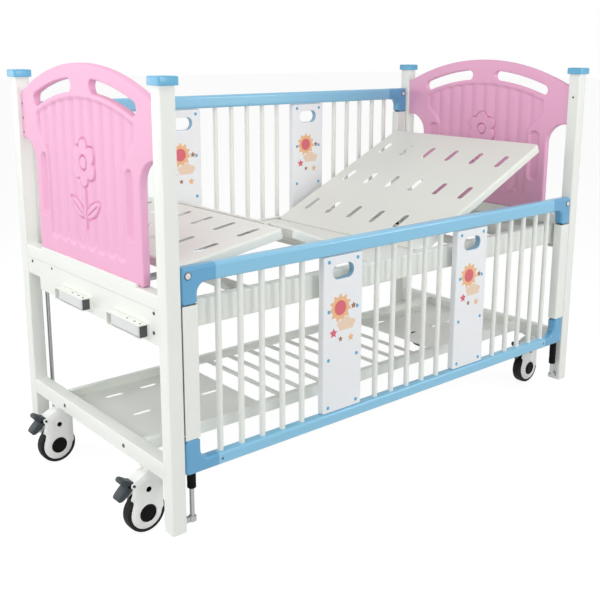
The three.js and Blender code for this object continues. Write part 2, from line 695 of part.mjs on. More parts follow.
// Drive lever under a hinged section, with its pin; flat is the pin's angle when lowered
function driveLever(sign, y, flat) {
  const pin = [LEVER_RADIUS * Math.sin(flat), -LEVER_RADIUS * Math.cos(flat)];
  const boss = 2.5 * DRIVE_PIN;
  const under = HINGE_DEPTH - DECK_SHEET / 2;
  const outline = [
    [sign * 2.5 * EAR_LENGTH, under], [sign * MOVING_EDGE, under], [-sign * (HINGE_EYE + 1), 0],
    [pin[0] - sign * boss, pin[1]], [pin[0] - sign * boss / 2, pin[1] - boss],
    [pin[0] + sign * boss / 2, pin[1] - boss], [pin[0] + sign * boss, pin[1]],
    [sign * EAR_LENGTH, -EAR_LENGTH],
  ];
  const near = y + YOKE_THICK / 2 + LEVER_GAP;
  const lever = prismY(polygon(outline), near, near + LEVER_THICK);
  return join(
    cut(lever, roundY(0, 0, HINGE_ROD + HINGE_FIT, near - 1, near + LEVER_THICK + 1)),
    roundY(pin[0], pin[1], DRIVE_PIN, y - YOKE_THICK, near + LEVER_THICK / 2),
  );
}

// Middle of a drive pin's travel, so that its sideways throw is the same both ways
const BACK_PIN_FLAT = -(BACK_TRAVEL / 2) * DEG;
const THIGH_PIN_FLAT = (THIGH_TRAVEL / 2) * DEG;
const throwPerRadian = (travel) =>
  (2 * LEVER_RADIUS * Math.sin((travel / 2) * DEG)) / (travel * DEG);

const backHinge = group(cot, BACK_HINGE_X, 0, HINGE_Z, -BACK_ANGLE * DEG);
const thighHinge = group(cot, THIGH_HINGE_X, 0, HINGE_Z, THIGH_ANGLE * DEG);
const kneeHinge = group(thighHinge, -THIGH_LENGTH, 0, 0, -(THIGH_ANGLE + CALF_ANGLE) * DEG);

// Deck: a fixed seat, with the back and the thigh hinged on it and the calf hinged on the thigh
function deck() {
  const seatMiddle = (BACK_HINGE_X + THIGH_HINGE_X) / 2;
  const seatHalf = (BACK_HINGE_X - THIGH_HINGE_X) / 2;
  const edge = seatHalf - FIXED_EDGE;
  const backSlots = [...BACK_SLOT_ROWS, BACK_LENGTH - BACK_SLOT_END];
  const calfSlots = [...CALF_SLOT_ROWS, CALF_LENGTH - CALF_SLOT_END];
  const seat = join(
    cut(
      block(-edge, edge, -DECK_HALF, DECK_HALF, CROSS_TOP - HINGE_Z, HINGE_DEPTH),
      block(
        -seatHalf, seatHalf, -DECK_HALF + DECK_SHEET, DECK_HALF - DECK_SHEET,
        CROSS_TOP - HINGE_Z - 1, HINGE_DEPTH - DECK_SHEET,
      ),
    ),
    hingeRod(seatHalf, -1, EAR_LENGTH),
    hingeRod(-seatHalf, 1, EAR_LENGTH),
  );
  part('seat_section', seat, WHITE_PAINT, group(cot, seatMiddle, 0, HINGE_Z));

  const back = join(
    deckSheet(1, MOVING_EDGE, BACK_LENGTH, backSlots, [false, true]),
    hingeEyes(0, 1, EAR_LENGTH),
    driveLever(1, BACK_CRANK_Y, BACK_PIN_FLAT),
  );
  part('back_section', back, WHITE_PAINT, backHinge);

  const thigh = join(
    deckSheet(-1, MOVING_EDGE, THIGH_LENGTH - KNEE_CLEAR, THIGH_SLOT_ROWS, [false, false]),
    hingeEyes(0, -1, EAR_LENGTH),
    hingeRod(-THIGH_LENGTH, 1, KNEE_CLEAR + EAR_LENGTH),
    driveLever(-1, KNEE_CRANK_Y, THIGH_PIN_FLAT),
  );
  part('thigh_section', thigh, WHITE_PAINT, thighHinge);

  const calf = join(
    deckSheet(-1, KNEE_CLEAR, CALF_LENGTH, calfSlots, [false, true]),
    hingeEyes(0, -1, KNEE_CLEAR + EAR_LENGTH),
  );
  part('calf_section', calf, WHITE_PAINT, kneeHinge);
}

// Calf stay: a bail on the frame whose cross bar carries the calf from below
function calfStay() {
  cot.updateMatrixWorld(true);
  const under = HINGE_DEPTH - DECK_SHEET - STAY_BAR - STAY_GAP;
  const bar = kneeHinge.localToWorld(new THREE.Vector3(-STAY_CONTACT, 0, under));
  const [dx, dz] = [bar.x - STAY_PIVOT_X, bar.z - STAY_PIVOT_Z];
  const length = Math.hypot(dx, dz);
  const half = STAY_ARM_DEPTH / 2;
  const place = group(cot, STAY_PIVOT_X, 0, STAY_PIVOT_Z, Math.atan2(dz, -dx));
  const arm = roundedRect(-length - half, half, -half, half, half - 0.1);
  let stay = roundY(-length, 0, STAY_BAR, -STAY_HALF, STAY_HALF);
  SIDES.forEach(([, sy]) => {
    const y = sy * STAY_HALF;
    stay = join(stay, prismY(arm, y - STAY_ARM / 2, y + STAY_ARM / 2));
    stay = cut(stay, roundY(0, 0, STAY_PIN + HINGE_FIT, y - STAY_ARM, y + STAY_ARM));
  });
  part('calf_stay', stay, WHITE_PAINT, place);
}

// Cranks: a channel arm with a folding grip turns a screw, which drives a push tube and yoke
function cranks() {
  const drives = [
    ['back', BACK_CRANK_Y, BACK_HINGE_X, BACK_PIN_FLAT, throwPerRadian(BACK_TRAVEL) * BACK_ANGLE * DEG],
    ['knee', KNEE_CRANK_Y, THIGH_HINGE_X, THIGH_PIN_FLAT, -throwPerRadian(THIGH_TRAVEL) * THIGH_ANGLE * DEG],
  ];
  drives.forEach(([name, y, hingeX, pinFlat, travelled]) => {
    const plateFace = -(HALF_L - APRON_SETBACK) - CRANK_PLATE;
    const web = plateFace - ARM_FIT;
    const front = web - ARM_DEPTH;
    const half = ARM_HEIGHT / 2;
    const tip = y - ARM_REACH;
    const pinY = tip + half - ARM_WALL;
    const channel = roundedRect(y - ARM_REACH, y + ARM_TAIL, CRANK_Z - half, CRANK_Z + half, ARM_WALL);
    const arm = cut(
      prismX(channel, front, web),
      block(
        front - 1, web - ARM_WALL, tip - 1, y + ARM_TAIL - ARM_WALL,
        CRANK_Z - half + ARM_WALL, CRANK_Z + half - ARM_WALL,
      ),
      roundX(y, CRANK_Z, SCREW_RADIUS, web - 2 * ARM_WALL, web + 1, ROUND_FINE),
    );
    const gripMiddle = front + (ARM_DEPTH - ARM_WALL) / 2;
    const pins = roundZ(gripMiddle, pinY, GRIP_PIN, CRANK_Z - half + 1, CRANK_Z + half - 1);
    part(`${name}_crank_arm`, join(arm, pins), WHITE_PAINT);

    const inner = half - ARM_WALL - GRIP_FIT;
    const depth = (ARM_DEPTH - ARM_WALL) / 2 - GRIP_FIT;
    const gripShape = roundedRect(
      gripMiddle - depth, gripMiddle + depth, pinY - depth, pinY + GRIP_LENGTH, depth - 0.1,
    );
    const grip = cut(
      upright(gripShape, CRANK_Z - inner, CRANK_Z + inner),
      roundZ(gripMiddle, pinY, GRIP_PIN + HINGE_FIT, CRANK_Z - half, CRANK_Z + half),
    );
    part(`${name}_crank_grip`, grip, WHITE_PLASTIC);

    const screw = roundX(
      y, CRANK_Z, SCREW_RADIUS, web - ARM_WALL, web + SCREW_LENGTH, ROUND_FINE,
    );
    part(`${name}_screw`, screw, STEEL);

    const yokeX = hingeX + LEVER_RADIUS * Math.sin(pinFlat) + travelled;
    const start = -HALF_L + PUSH_START;
    const slotHalf = DRIVE_PIN + YOKE_PLAY;
    const pinTop = HINGE_Z - LEVER_RADIUS * Math.cos(pinFlat) + slotHalf;
    const pinLow = HINGE_Z - LEVER_RADIUS - slotHalf;
    const cheek = 2 * DRIVE_PIN;
    const yoke = roundedRect(
      yokeX - YOKE_BACK, yokeX + slotHalf + cheek, pinLow - cheek, CRANK_Z + PUSH_RADIUS, cheek / 2,
    );
    const push = join(
      cut(
        roundX(y, CRANK_Z, PUSH_RADIUS, start, yokeX - YOKE_BACK + cheek, ROUND_FINE),
        roundX(y, CRANK_Z, SCREW_RADIUS + SCREW_FIT, start - 1, start + NUT_LENGTH + 1, ROUND_FINE),
        roundX(y, CRANK_Z, PUSH_BORE, start + NUT_LENGTH, yokeX - YOKE_BACK + cheek + 1, ROUND_FINE),
      ),
      cut(
        prismY(yoke, y - YOKE_THICK / 2, y + YOKE_THICK / 2),
        prismY(
          stadium(yokeX - slotHalf, yokeX + slotHalf, pinLow, pinTop),
          y - YOKE_THICK, y + YOKE_THICK,
        ),
      ),
    );
    part(`${name}_push_tube`, push, STEEL);
  });
}

// Guide rods: a steel rod stands at each end of a side, on a foot fixed to the post
function guideRods() {
  const rodY = HALF_W - SIDE_DEPTH / 2;
  const rodX = HALF_L - ROD_INSET;
  eachCorner((corner, sx, sy) => {
    const [x, y] = [sx * rodX, sy * rodY];
    const lugHalf = ROD_FOOT_RADIUS / 2;
    const rod = join(
      roundZ(x, y, ROD_RADIUS, ROD_BOTTOM, ROD_TOP),
      roundZ(x, y, ROD_FOOT_RADIUS, ROD_BOTTOM, ROD_BOTTOM + ROD_FOOT_HEIGHT),
      block(
        x, sx * (HALF_L - POST), y - lugHalf, y + lugHalf,
        ROD_BOTTOM, ROD_BOTTOM + ROD_FOOT_HEIGHT,
      ),
    );
    part(`guide_rod_${corner}`, rod, STEEL);
  });
}

// Sliding sides: blue top and bottom rails over a welded ladder of bars, with two flat panels
function slidingSides() {
  const end = HALF_L - POST - SIDE_CLEAR;
  const inner = end - STILE;
  const bay = (2 * inner - 2 * SIDE_PANEL_WIDTH) / 3;
  const pitch = bay / (BARS_PER_BAY + 1);
  const flatHalf = FLAT_WIDTH / 2;
  const grooveHalf = flatHalf + GROOVE_FIT;
  const grooveDepth = FLAT_THICK + GROOVE_FIT;
  const railFoot = SIDE_HEIGHT - SIDE_TOP_RAIL;
  const half = SIDE_DEPTH / 2;
  SIDES.forEach(([side, sy]) => {
    const lift = side === 'far' ? SIDE_TRAVEL : 0;
    const place = group(cot, 0, sy * (HALF_W - half), SIDE_BOTTOM + lift);
    const boreTop = ROD_TOP - SIDE_BOTTOM + BORE_SPARE;
    const bore = join(...ENDS.map(([, sx]) =>
      roundZ(sx * (HALF_L - ROD_INSET), 0, STILE_BORE, -1, boreTop)));
    const cornerLow = SIDE_HEIGHT - CORNER_HEIGHT;
    const tongueIn = inner + FLAT_THICK;
    const tongueOut = tongueIn + TONGUE;
    const grooveEnd = tongueOut + GROOVE_FIT;
    const pocket = (sx, z0, z1) => block(
      sx * (tongueIn - GROOVE_FIT), sx * grooveEnd, -grooveHalf, grooveHalf, z0, z1,
    );
    const groove = (z0, z1) => block(-grooveEnd, grooveEnd, -grooveHalf, grooveHalf, z0, z1);

    const topGroove = railFoot + grooveDepth;
    const top = cut(
      join(
        prismX(roundedRect(-half, half, railFoot, SIDE_HEIGHT, SIDE_EDGE), -end, end),
        cornerBlock(-1, end, cornerLow, railFoot + SIDE_EDGE, false),
        cornerBlock(1, end, cornerLow, railFoot + SIDE_EDGE, false),
      ),
      groove(railFoot - FLAT_SHOW - GROOVE_FIT, topGroove),
      pocket(-1, cornerLow - 1, topGroove),
      pocket(1, cornerLow - 1, topGroove),
      bore,
    );
    part(`side_top_rail_${side}`, top, BLUE_PLASTIC, place);

    const lowGroove = SIDE_BOTTOM_RAIL - grooveDepth;
    const bottom = cut(
      join(
        prismX(roundedRect(-half, half, 0, SIDE_BOTTOM_RAIL, SIDE_EDGE), -end, end),
        cornerBlock(-1, end, SIDE_BOTTOM_RAIL - SIDE_EDGE, CORNER_HEIGHT, true),
        cornerBlock(1, end, SIDE_BOTTOM_RAIL - SIDE_EDGE, CORNER_HEIGHT, true),
      ),
      groove(lowGroove, SIDE_BOTTOM_RAIL + FLAT_SHOW + GROOVE_FIT),
      pocket(-1, lowGroove, CORNER_HEIGHT + 1),
      pocket(1, lowGroove, CORNER_HEIGHT + 1),
      bore,
    );
    part(`side_bottom_rail_${side}`, bottom, BLUE_PLASTIC, place);

    const flatTop = railFoot + FLAT_THICK;
    const flatLow = SIDE_BOTTOM_RAIL - FLAT_THICK;
    const showTop = railFoot - FLAT_SHOW;
    const showLow = SIDE_BOTTOM_RAIL + FLAT_SHOW;
    const ladder = [
      block(-tongueOut, tongueOut, -flatHalf, flatHalf, showTop, flatTop),
      block(-tongueOut, tongueOut, -flatHalf, flatHalf, flatLow, showLow),
    ];
    const stileLow = CORNER_HEIGHT + STILE_FIT;
    const stileTop = cornerLow - STILE_FIT;
    ENDS.forEach(([, sx]) => {
      const channel = cut(
        block(sx * inner, sx * end, -half, half, stileLow, stileTop),
        block(
          sx * (inner + STILE_WALL), sx * (end + 1), -half + STILE_WALL, half - STILE_WALL,
          stileLow + STILE_WALL, stileTop - STILE_WALL,
        ),
      );
      ladder.push(
        channel,
        block(sx * tongueIn, sx * tongueOut, -flatHalf, flatHalf, flatLow, stileLow + STILE_WALL),
        block(sx * tongueIn, sx * tongueOut, -flatHalf, flatHalf, stileTop - STILE_WALL, flatTop),
      );
    });
    for (let b = 0; b < 3; b += 1) {
      const from = -inner + b * (bay + SIDE_PANEL_WIDTH);
      for (let k = 1; k <= BARS_PER_BAY; k += 1) {
        ladder.push(roundZ(
          from + k * pitch, 0, BAR_RADIUS, SIDE_BOTTOM_RAIL + STILE_FIT, railFoot - STILE_FIT, 6,
        ));
      }
    }
    part(`side_bars_${side}`, cut(join(...ladder), bore), WHITE_PAINT, place);

    ['foot', 'head'].forEach((where) => {
      const sx = where === 'foot' ? -1 : 1;
      const panelInner = sx * bay / 2;
      const panelOuter = panelInner + sx * SIDE_PANEL_WIDTH;
      const [p0, p1] = [Math.min(panelInner, panelOuter), Math.max(panelInner, panelOuter)];
      const shape = rect(p0 + SIDE_PANEL_FIT, p1 - SIDE_PANEL_FIT,
        showLow, showTop - SIDE_PANEL_FIT);
      const middle = (p0 + p1) / 2;
      const holeZ = railFoot - HAND_HOLE_DROP;
      const panel = hollow(shape, stadium(
        middle - HAND_HOLE_WIDTH / 2, middle + HAND_HOLE_WIDTH / 2,
        holeZ - HAND_HOLE_HEIGHT / 2, holeZ + HAND_HOLE_HEIGHT / 2,
      ));
      part(
        `side_panel_${side}_${where}`,
        prismY(panel, -SIDE_PANEL_THICK / 2, SIDE_PANEL_THICK / 2, 0, 2),
        WHITE_PLASTIC, place,
      );
      const length = where === 'foot' ? FOOT_BUSH : HEAD_BUSH;
      const x = sx * (HALF_L - ROD_INSET);
      const bush = cut(
        roundZ(x, 0, BUSH_RADIUS, -length, 0),
        roundZ(x, 0, ROD_RADIUS + ROD_FIT, -length - 1, 1),
      );
      part(`bush_${side}_${where}`, bush, BLACK_PLASTIC, place);
    });
  });
}

// Moulded corner of a side: a short leg down or up the stile, with a fillet into the rail
function cornerBlock(sx, end, z0, z1, low) {
  const half = SIDE_DEPTH / 2;
  const inner = end - STILE;
  const root = low ? z0 + SIDE_EDGE : z1 - SIDE_EDGE;
  const fillet = new THREE.Shape();
  const turn = low ? 1 : -1;
  fillet.moveTo(sx * end, root);
  fillet.lineTo(sx * (inner - CORNER_FILLET), root);
  for (let k = 1; k <= FILLET_STEPS; k += 1) {
    const angle = (k / FILLET_STEPS) * (Math.PI / 2);
    fillet.lineTo(
      sx * (inner - CORNER_FILLET * (1 - Math.sin(angle))),
      root + turn * CORNER_FILLET * (1 - Math.cos(angle)),
    );
  }
  fillet.lineTo(sx * end, root + turn * CORNER_FILLET);
  return join(
    block(sx * inner, sx * end, -half, half, z0, z1),
    prismY(fillet, -half, half),
  );
}

// Lower shelf: two rims, a slotted plate at each end and slats across the middle
function lowerShelf() {
  const end = HALF_L - RAIL_SETBACK - BOTTOM_RAIL_DEPTH;
  const top = SHELF_BOTTOM + SHELF_RIM;
  const floor = SHELF_BOTTOM + SHELF_SHEET;
  const rim = (sy) => {
    const web = sy * SHELF_HALF;
    const lip = sy * (SHELF_HALF - SHELF_FLANGE);
    return join(
      block(-end, end, web, web - sy * SHELF_SHEET, SHELF_BOTTOM, top),
      block(-end, end, web, lip, top - SHELF_SHEET, top),
    );
  };
  const bodies = [rim(-1), rim(1)];
  ENDS.forEach(([, sx]) => {
    const plateEnd = end - SHELF_PLATE;
    let plate = block(
      sx * end, sx * plateEnd, -SHELF_HALF + 1, SHELF_HALF - 1, SHELF_BOTTOM, floor,
    );
    SHELF_SLOT_COLUMNS.forEach((column) => SHELF_SLOT_ROWS.forEach((y) => {
      const x = sx * (end - column);
      const slot = rect(
        x - SHELF_SLOT_LENGTH / 2, x + SHELF_SLOT_LENGTH / 2,
        y - SHELF_SLOT_WIDTH / 2, y + SHELF_SLOT_WIDTH / 2,
      );
      plate = cut(plate, upright(slot, SHELF_BOTTOM - 1, floor + 1));
    }));
    bodies.push(plate);
  });
  const open = 2 * (end - SHELF_PLATE);
  const pitch = open / (SLAT_COUNT + 1);
  for (let k = 1; k <= SLAT_COUNT; k += 1) {
    const x = -open / 2 + k * pitch;
    bodies.push(block(
      x - SLAT_WIDTH / 2, x + SLAT_WIDTH / 2, -SHELF_HALF + 1, SHELF_HALF - 1, SHELF_BOTTOM, floor,
    ));
  }
  part('lower_shelf', join(...bodies), WHITE_PAINT);
}

// Caster: a twin-walled shell on a stem, a wheel whose hub shows through it, and a brake pedal
function casters() {
  const shellInner = TYRE_WIDTH / 2 + SHELL_GAP;
  const shellOuter = shellInner + SHELL_WALL;
  const axleX = -CASTER_TRAIL;
  const hoodLow = WHEEL_RADIUS * 2 + HOOD_CLEAR;
  const stemTop = BOTTOM_RAIL_BOTTOM - STEM_FIT;
  const wall = new THREE.Shape();
  const lean = 20 * DEG;
  wall.absarc(axleX, WHEEL_RADIUS, SHELL_RADIUS, Math.PI - lean, 2 * Math.PI + lean);
  wall.lineTo(HOOD_HALF, HOOD_TOP - HOOD_HALF / 2);
  wall.lineTo(HOOD_HALF / 2, HOOD_TOP);
  wall.lineTo(-HOOD_HALF, HOOD_TOP);
  wall.lineTo(-1.4 * HOOD_HALF, HOOD_TOP - HOOD_HALF / 2);
  wall.lineTo(-1.3 * HOOD_HALF, hoodLow);
  const pivot = new THREE.Vector2(...PEDAL_PIVOT);
  const arch = polygon([
    [HOOD_HALF, hoodLow], [HOOD_HALF, HOOD_TOP - HOOD_HALF / 2], [HOOD_HALF / 2, HOOD_TOP],
    [-HOOD_HALF, HOOD_TOP], [-1.4 * HOOD_HALF, HOOD_TOP - HOOD_HALF / 2], [-1.3 * HOOD_HALF, hoodLow],
  ]);
  const earReach = Math.abs(pivot.x) + 2 * PEDAL_PIN;
  const earShape = rect(
    -earReach, -HOOD_HALF, pivot.y - 2 * PEDAL_PIN, pivot.y + 2 * PEDAL_PIN,
  );
  const pedalShape = polygon([
    [pivot.x - 5, pivot.y - 9], [pivot.x - 42, pivot.y - 24], [pivot.x - 50, pivot.y - 14],
    [pivot.x - 22, pivot.y + 6], [pivot.x - 26, pivot.y + 28], [pivot.x - 12, pivot.y + 34],
    [pivot.x + 6, pivot.y + 9], [pivot.x + 8, pivot.y],
  ]);
  const tyre = wheelSolid();
  eachCorner((corner, sx, sy) => {
    const railMiddle = HALF_L - RAIL_SETBACK - BOTTOM_RAIL_DEPTH / 2;
    const place = group(cot, sx * railMiddle, sy * (HALF_W - CASTER_INSET), 0);
    const walls = SIDES.map(([, side]) => {
      const [y0, y1] = [side * shellInner, side * shellOuter].sort((p, q) => p - q);
      return join(prismY(wall, y0, y1, 0, 5), prismY(earShape, y0, y1));
    });
    const shell = cut(
      join(
        ...walls,
        prismY(arch, -shellInner - 1, shellInner + 1),
        roundZ(0, 0, STEM_RADIUS, HOOD_TOP - 1, stemTop),
        roundZ(0, 0, STEM_FLANGE, stemTop - FLANGE_THICK, stemTop),
      ),
      roundY(axleX, WHEEL_RADIUS, HUB_RADIUS + HUB_FIT, -shellOuter - 1, shellOuter + 1, ROUND_HUB),
      roundY(pivot.x, pivot.y, PEDAL_PIN + PEDAL_FIT, -shellOuter - 1, shellOuter + 1),
    );
    part(`caster_shell_${corner}`, shell, WHITE_PLASTIC, place);
    const wheelPlace = group(place, axleX, 0, WHEEL_RADIUS);
    part(`caster_wheel_${corner}`, tyre, BLACK_PLASTIC, wheelPlace);
    const half = PEDAL_WIDTH / 2 - PEDAL_FIT;
    const pedal = join(
      prismY(pedalShape, -half + SHELL_GAP, half - SHELL_GAP),
      roundY(pivot.x, pivot.y, PEDAL_PIN, -shellOuter, shellOuter),
    );
    part(`brake_pedal_${corner}`, pedal, DARK_PLASTIC, place);
  });
}

// Wheel: a tyre with rounded shoulders and a hub that runs out to the faces of the shell
function wheelSolid() {
  const half = TYRE_WIDTH / 2;
  const face = half + SHELL_GAP + SHELL_WALL;
  const tread = disc(0, 0, WHEEL_RADIUS);
  return join(
    prismY(tread, -half, half, TYRE_EDGE, 10),
    roundY(0, 0, HUB_RADIUS, -face, face, ROUND_HUB),
  );
}

postsAndCaps();
endRails();
footApron();
endPanels();
bedFrame();
deck();
calfStay();
cranks();
guideRods();
slidingSides();
lowerShelf();
casters();

// The origin is on the floor, under the middle of the whole cot
cot.updateMatrixWorld(true);
const overall = new THREE.Box3().setFromObject(cot);
cot.position.x = -(overall.min.x + overall.max.x) / 2;
cot.updateMatrixWorld(true);

export default cot;
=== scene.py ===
"""Pediatric hospital cot: the finished look of every piece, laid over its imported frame."""

import math

import bpy
import numpy as np
from mathutils import Matrix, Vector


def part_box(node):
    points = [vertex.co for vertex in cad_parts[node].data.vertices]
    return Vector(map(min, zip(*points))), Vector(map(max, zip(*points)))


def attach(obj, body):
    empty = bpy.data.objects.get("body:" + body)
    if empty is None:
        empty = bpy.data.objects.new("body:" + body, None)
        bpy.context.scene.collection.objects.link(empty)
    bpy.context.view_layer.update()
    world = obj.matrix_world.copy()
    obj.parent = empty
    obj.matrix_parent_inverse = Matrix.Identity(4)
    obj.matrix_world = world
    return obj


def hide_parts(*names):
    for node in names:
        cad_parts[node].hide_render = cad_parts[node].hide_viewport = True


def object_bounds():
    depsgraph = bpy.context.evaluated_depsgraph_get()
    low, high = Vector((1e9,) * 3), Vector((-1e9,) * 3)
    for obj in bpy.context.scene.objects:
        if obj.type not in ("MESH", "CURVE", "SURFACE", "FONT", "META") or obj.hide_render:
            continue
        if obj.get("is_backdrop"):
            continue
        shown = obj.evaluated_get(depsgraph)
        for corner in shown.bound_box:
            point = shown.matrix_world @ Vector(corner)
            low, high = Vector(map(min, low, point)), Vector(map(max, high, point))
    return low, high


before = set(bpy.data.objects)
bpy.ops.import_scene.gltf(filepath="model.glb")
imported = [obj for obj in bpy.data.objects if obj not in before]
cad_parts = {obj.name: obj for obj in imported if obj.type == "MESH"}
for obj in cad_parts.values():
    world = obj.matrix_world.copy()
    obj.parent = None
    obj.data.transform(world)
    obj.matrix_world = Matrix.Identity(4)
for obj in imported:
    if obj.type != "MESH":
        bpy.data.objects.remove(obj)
cad_box = [[float(c) for c in corner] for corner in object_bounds()]


# ---------------------------------------------------------------------------------------------
# The studio: a wide pale floor under even light, soft lamps off the foot, above and off the near
# side, and the camera off the foot corner of the near side at about chest height.
class Wire:
    """A number on its way through a shader; a sum or product of wires adds a Math node."""

    def __init__(self, tree, socket):
        self.tree, self.socket = tree, socket

    def joined(self, operation, first, second):
        node = self.tree.nodes.new("ShaderNodeMath")
        node.operation = operation
        for slot, value in zip(node.inputs, (first, second)):
            if isinstance(value, Wire):
                self.tree.links.new(value.socket, slot)
            else:
                slot.default_value = value
        return Wire(self.tree, node.outputs[0])

    def __add__(self, other):
        return self.joined("ADD", self, other)

    def __radd__(self, other):
        return self.joined("ADD", other, self)

    def __sub__(self, other):
        return self.joined("SUBTRACT", self, other)

    def __rsub__(self, other):
        return self.joined("SUBTRACT", other, self)

    def __mul__(self, other):
        return self.joined("MULTIPLY", self, other)

    def __rmul__(self, other):
        return self.joined("MULTIPLY", other, self)

    def __gt__(self, other):
        return self.joined("GREATER_THAN", self, other)

    def at_least(self, other):
        return self.joined("MAXIMUM", self, other)

    def at_most(self, other):
        return self.joined("MINIMUM", self, other)


class Shader:
    """A node tree in which add() makes any node: its kind, its settings, then its sockets."""

    def __init__(self, tree):
        self.tree = tree
        tree.nodes.clear()

    def add(self, kind, settings=None, sockets=None, out=0):
        node = self.tree.nodes.new(kind)
        for key, value in (settings or {}).items():
            setattr(node, key, value)
        for key, value in (sockets or {}).items():
            if isinstance(value, Wire):
                self.tree.links.new(value.socket, node.inputs[key])
            else:
                node.inputs[key].default_value = value
        return Wire(self.tree, node.outputs[out]) if len(node.outputs) else node


def shade(red, green, blue):
    """Linear colour from an 8-bit one: the sRGB curve taken off each channel."""
    c = np.array([red, green, blue]) / 255
    c = np.where(c > 0.04045, ((c + 0.055) / 1.055) ** 2.4, c / 12.92)
    return (*c.tolist(), 1.0)


scene = bpy.context.scene
scene.view_settings.view_transform = "Standard"
yaw, pitch, roll = np.radians([40.243, 12.454, 0.152])
ahead = np.array([math.sin(yaw) * math.cos(pitch), math.cos(yaw) * math.cos(pitch), -math.sin(pitch)])
right = np.array([math.cos(yaw), -math.sin(yaw), 0.0])
above = np.cross(right, ahead)
right, above = (
    math.cos(roll) * right + math.sin(roll) * above,
    math.cos(roll) * above - math.sin(roll) * right,
)
camera = bpy.data.objects.new("camera", bpy.data.cameras.new("camera"))
scene.collection.objects.link(camera)
camera.data.sensor_width = 36.0
camera.data.lens = 52.41
camera.data.shift_x, camera.data.shift_y = 0.0019, -0.0948
camera.data.clip_end = 200.0
pose = Matrix.Identity(4)
for row in range(3):
    pose[row][0], pose[row][1], pose[row][2] = right[row], above[row], -ahead[row]
    pose[row][3] = (-2.07075, -2.3594, 1.3766)[row]
camera.matrix_world = pose
scene.camera = camera

world = bpy.data.worlds.new("studio")
scene.world = world
world.use_nodes = True
tent = Shader(world.node_tree)
seen = tent.add("ShaderNodeLightPath", out=0)
mirrored = tent.add("ShaderNodeLightPath", out=3)
through = tent.add("ShaderNodeLightPath", out=6)
shown = seen.at_least(mirrored).at_least(through)
tent.add(
    "ShaderNodeOutputWorld",
    sockets={
        "Surface": tent.add(
            "ShaderNodeBackground",
            sockets={"Color": (1.0, 1.0, 1.0, 1.0), "Strength": 0.32 + 0.68 * shown},
        )
    },
)

for label, energy, size, spot, aim in (
    ("foot_lamp", 13.0, 2.4, (-3.4, 1.6, 1.8), (-0.9, 0.0, 0.9)),
    ("sheen_lamp", 18.0, 1.8, (-2.6, 3.0, 1.4), (-0.95, 0.0, 0.95)),
    ("low_lamp", 14.0, 1.2, (-3.0, -0.3, 1.1), (-0.5, 0.0, 0.3)),
    ("front_lamp", 12.0, 1.0, (-2.4, -3.0, 1.0), (-0.4, -0.3, 0.6)),
    ("side_lamp", 20.0, 0.6, (0.25, -3.2, 2.0), (0.0, -0.3, 0.5)),
    ("head_lamp", 22.0, 1.0, (2.2, -2.6, 1.6), (0.5, -0.3, 0.6)),
    ("top_lamp", 33.0, 2.4, (-1.3, -0.6, 3.2), (-0.3, 0.0, 0.6)),
):
    lamp = bpy.data.objects.new(label, bpy.data.lights.new(label, "AREA"))
    scene.collection.objects.link(lamp)
    lamp.data.energy, lamp.data.shape, lamp.data.size = energy, "DISK", size
    to = np.subtract(aim, spot) / np.linalg.norm(np.subtract(aim, spot))
    side = np.cross(to, (0, 0, 1)) / np.linalg.norm(np.cross(to, (0, 0, 1)))
    up = np.cross(side, to)
    lamp.matrix_world = Matrix(
        [[side[k], up[k], -to[k], spot[k]] for k in range(3)] + [[0, 0, 0, 1]]
    )

floor_mesh = bpy.data.meshes.new("floor")
floor_mesh.from_pydata([(-40, -40, -0.001), (40, -40, -0.001), (40, 40, -0.001), (-40, 40, -0.001)],
                       [], [(0, 1, 2, 3)])
floor = bpy.data.objects.new("floor", floor_mesh)
scene.collection.objects.link(floor)
floor_paint = bpy.data.materials.new("floor_paint")
floor_paint.use_nodes = True
ground = Shader(floor_paint.node_tree)
seen = ground.add("ShaderNodeLightPath", out=0)
mirrored = ground.add("ShaderNodeLightPath", out=3)
through = ground.add("ShaderNodeLightPath", out=6)
lit = ground.add("ShaderNodeBsdfDiffuse", sockets={"Color": (0.20, 0.20, 0.20, 1.0)})
glow = ground.add("ShaderNodeEmission", sockets={"Color": (1.0, 1.0, 1.0, 1.0), "Strength": 0.90})
plain = ground.add("ShaderNodeBsdfDiffuse", sockets={"Color": (0.70, 0.70, 0.70, 1.0)})
ground.add(
    "ShaderNodeOutputMaterial",
    sockets={
        "Surface": ground.add(
            "ShaderNodeMixShader",
            sockets={
                0: seen.at_least(mirrored).at_least(through),
                1: plain,
                2: ground.add("ShaderNodeAddShader", sockets={0: lit, 1: glow}),
            },
        )
    },
)
floor_mesh.materials.append(floor_paint)
floor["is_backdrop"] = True

# ---------------------------------------------------------------------------------------------
# Corner posts: four square welded steel tubes with rounded corners, powder coated white. They
# stand from just above the casters to the caps and carry the end frames and the guide rods.
def outward(points, faces):
    """The same closed surface with its faces turned outwards: the sum of the volumes between
    each face and the origin is negative when they point in."""
    volume = 0.0
    for rows in faces:
        first = points[rows[:, 0]]
        for k in range(1, rows.shape[1] - 1):
            volume += np.einsum("ij,ij->", first, np.cross(points[rows[:, k]], points[rows[:, k + 1]]))
    return points, [rows[:, ::-1] if volume < 0 else rows for rows in faces]


def gather(*surfaces):
    """Several closed surfaces as one: each one's faces count on from the points before it."""
    points, faces, start = [], [], 0
    for surface in surfaces:
        some, rows = outward(*surface)
        points.append(some)
        faces += [part + start for part in rows]
        start += len(some)
    return np.vstack(points), faces


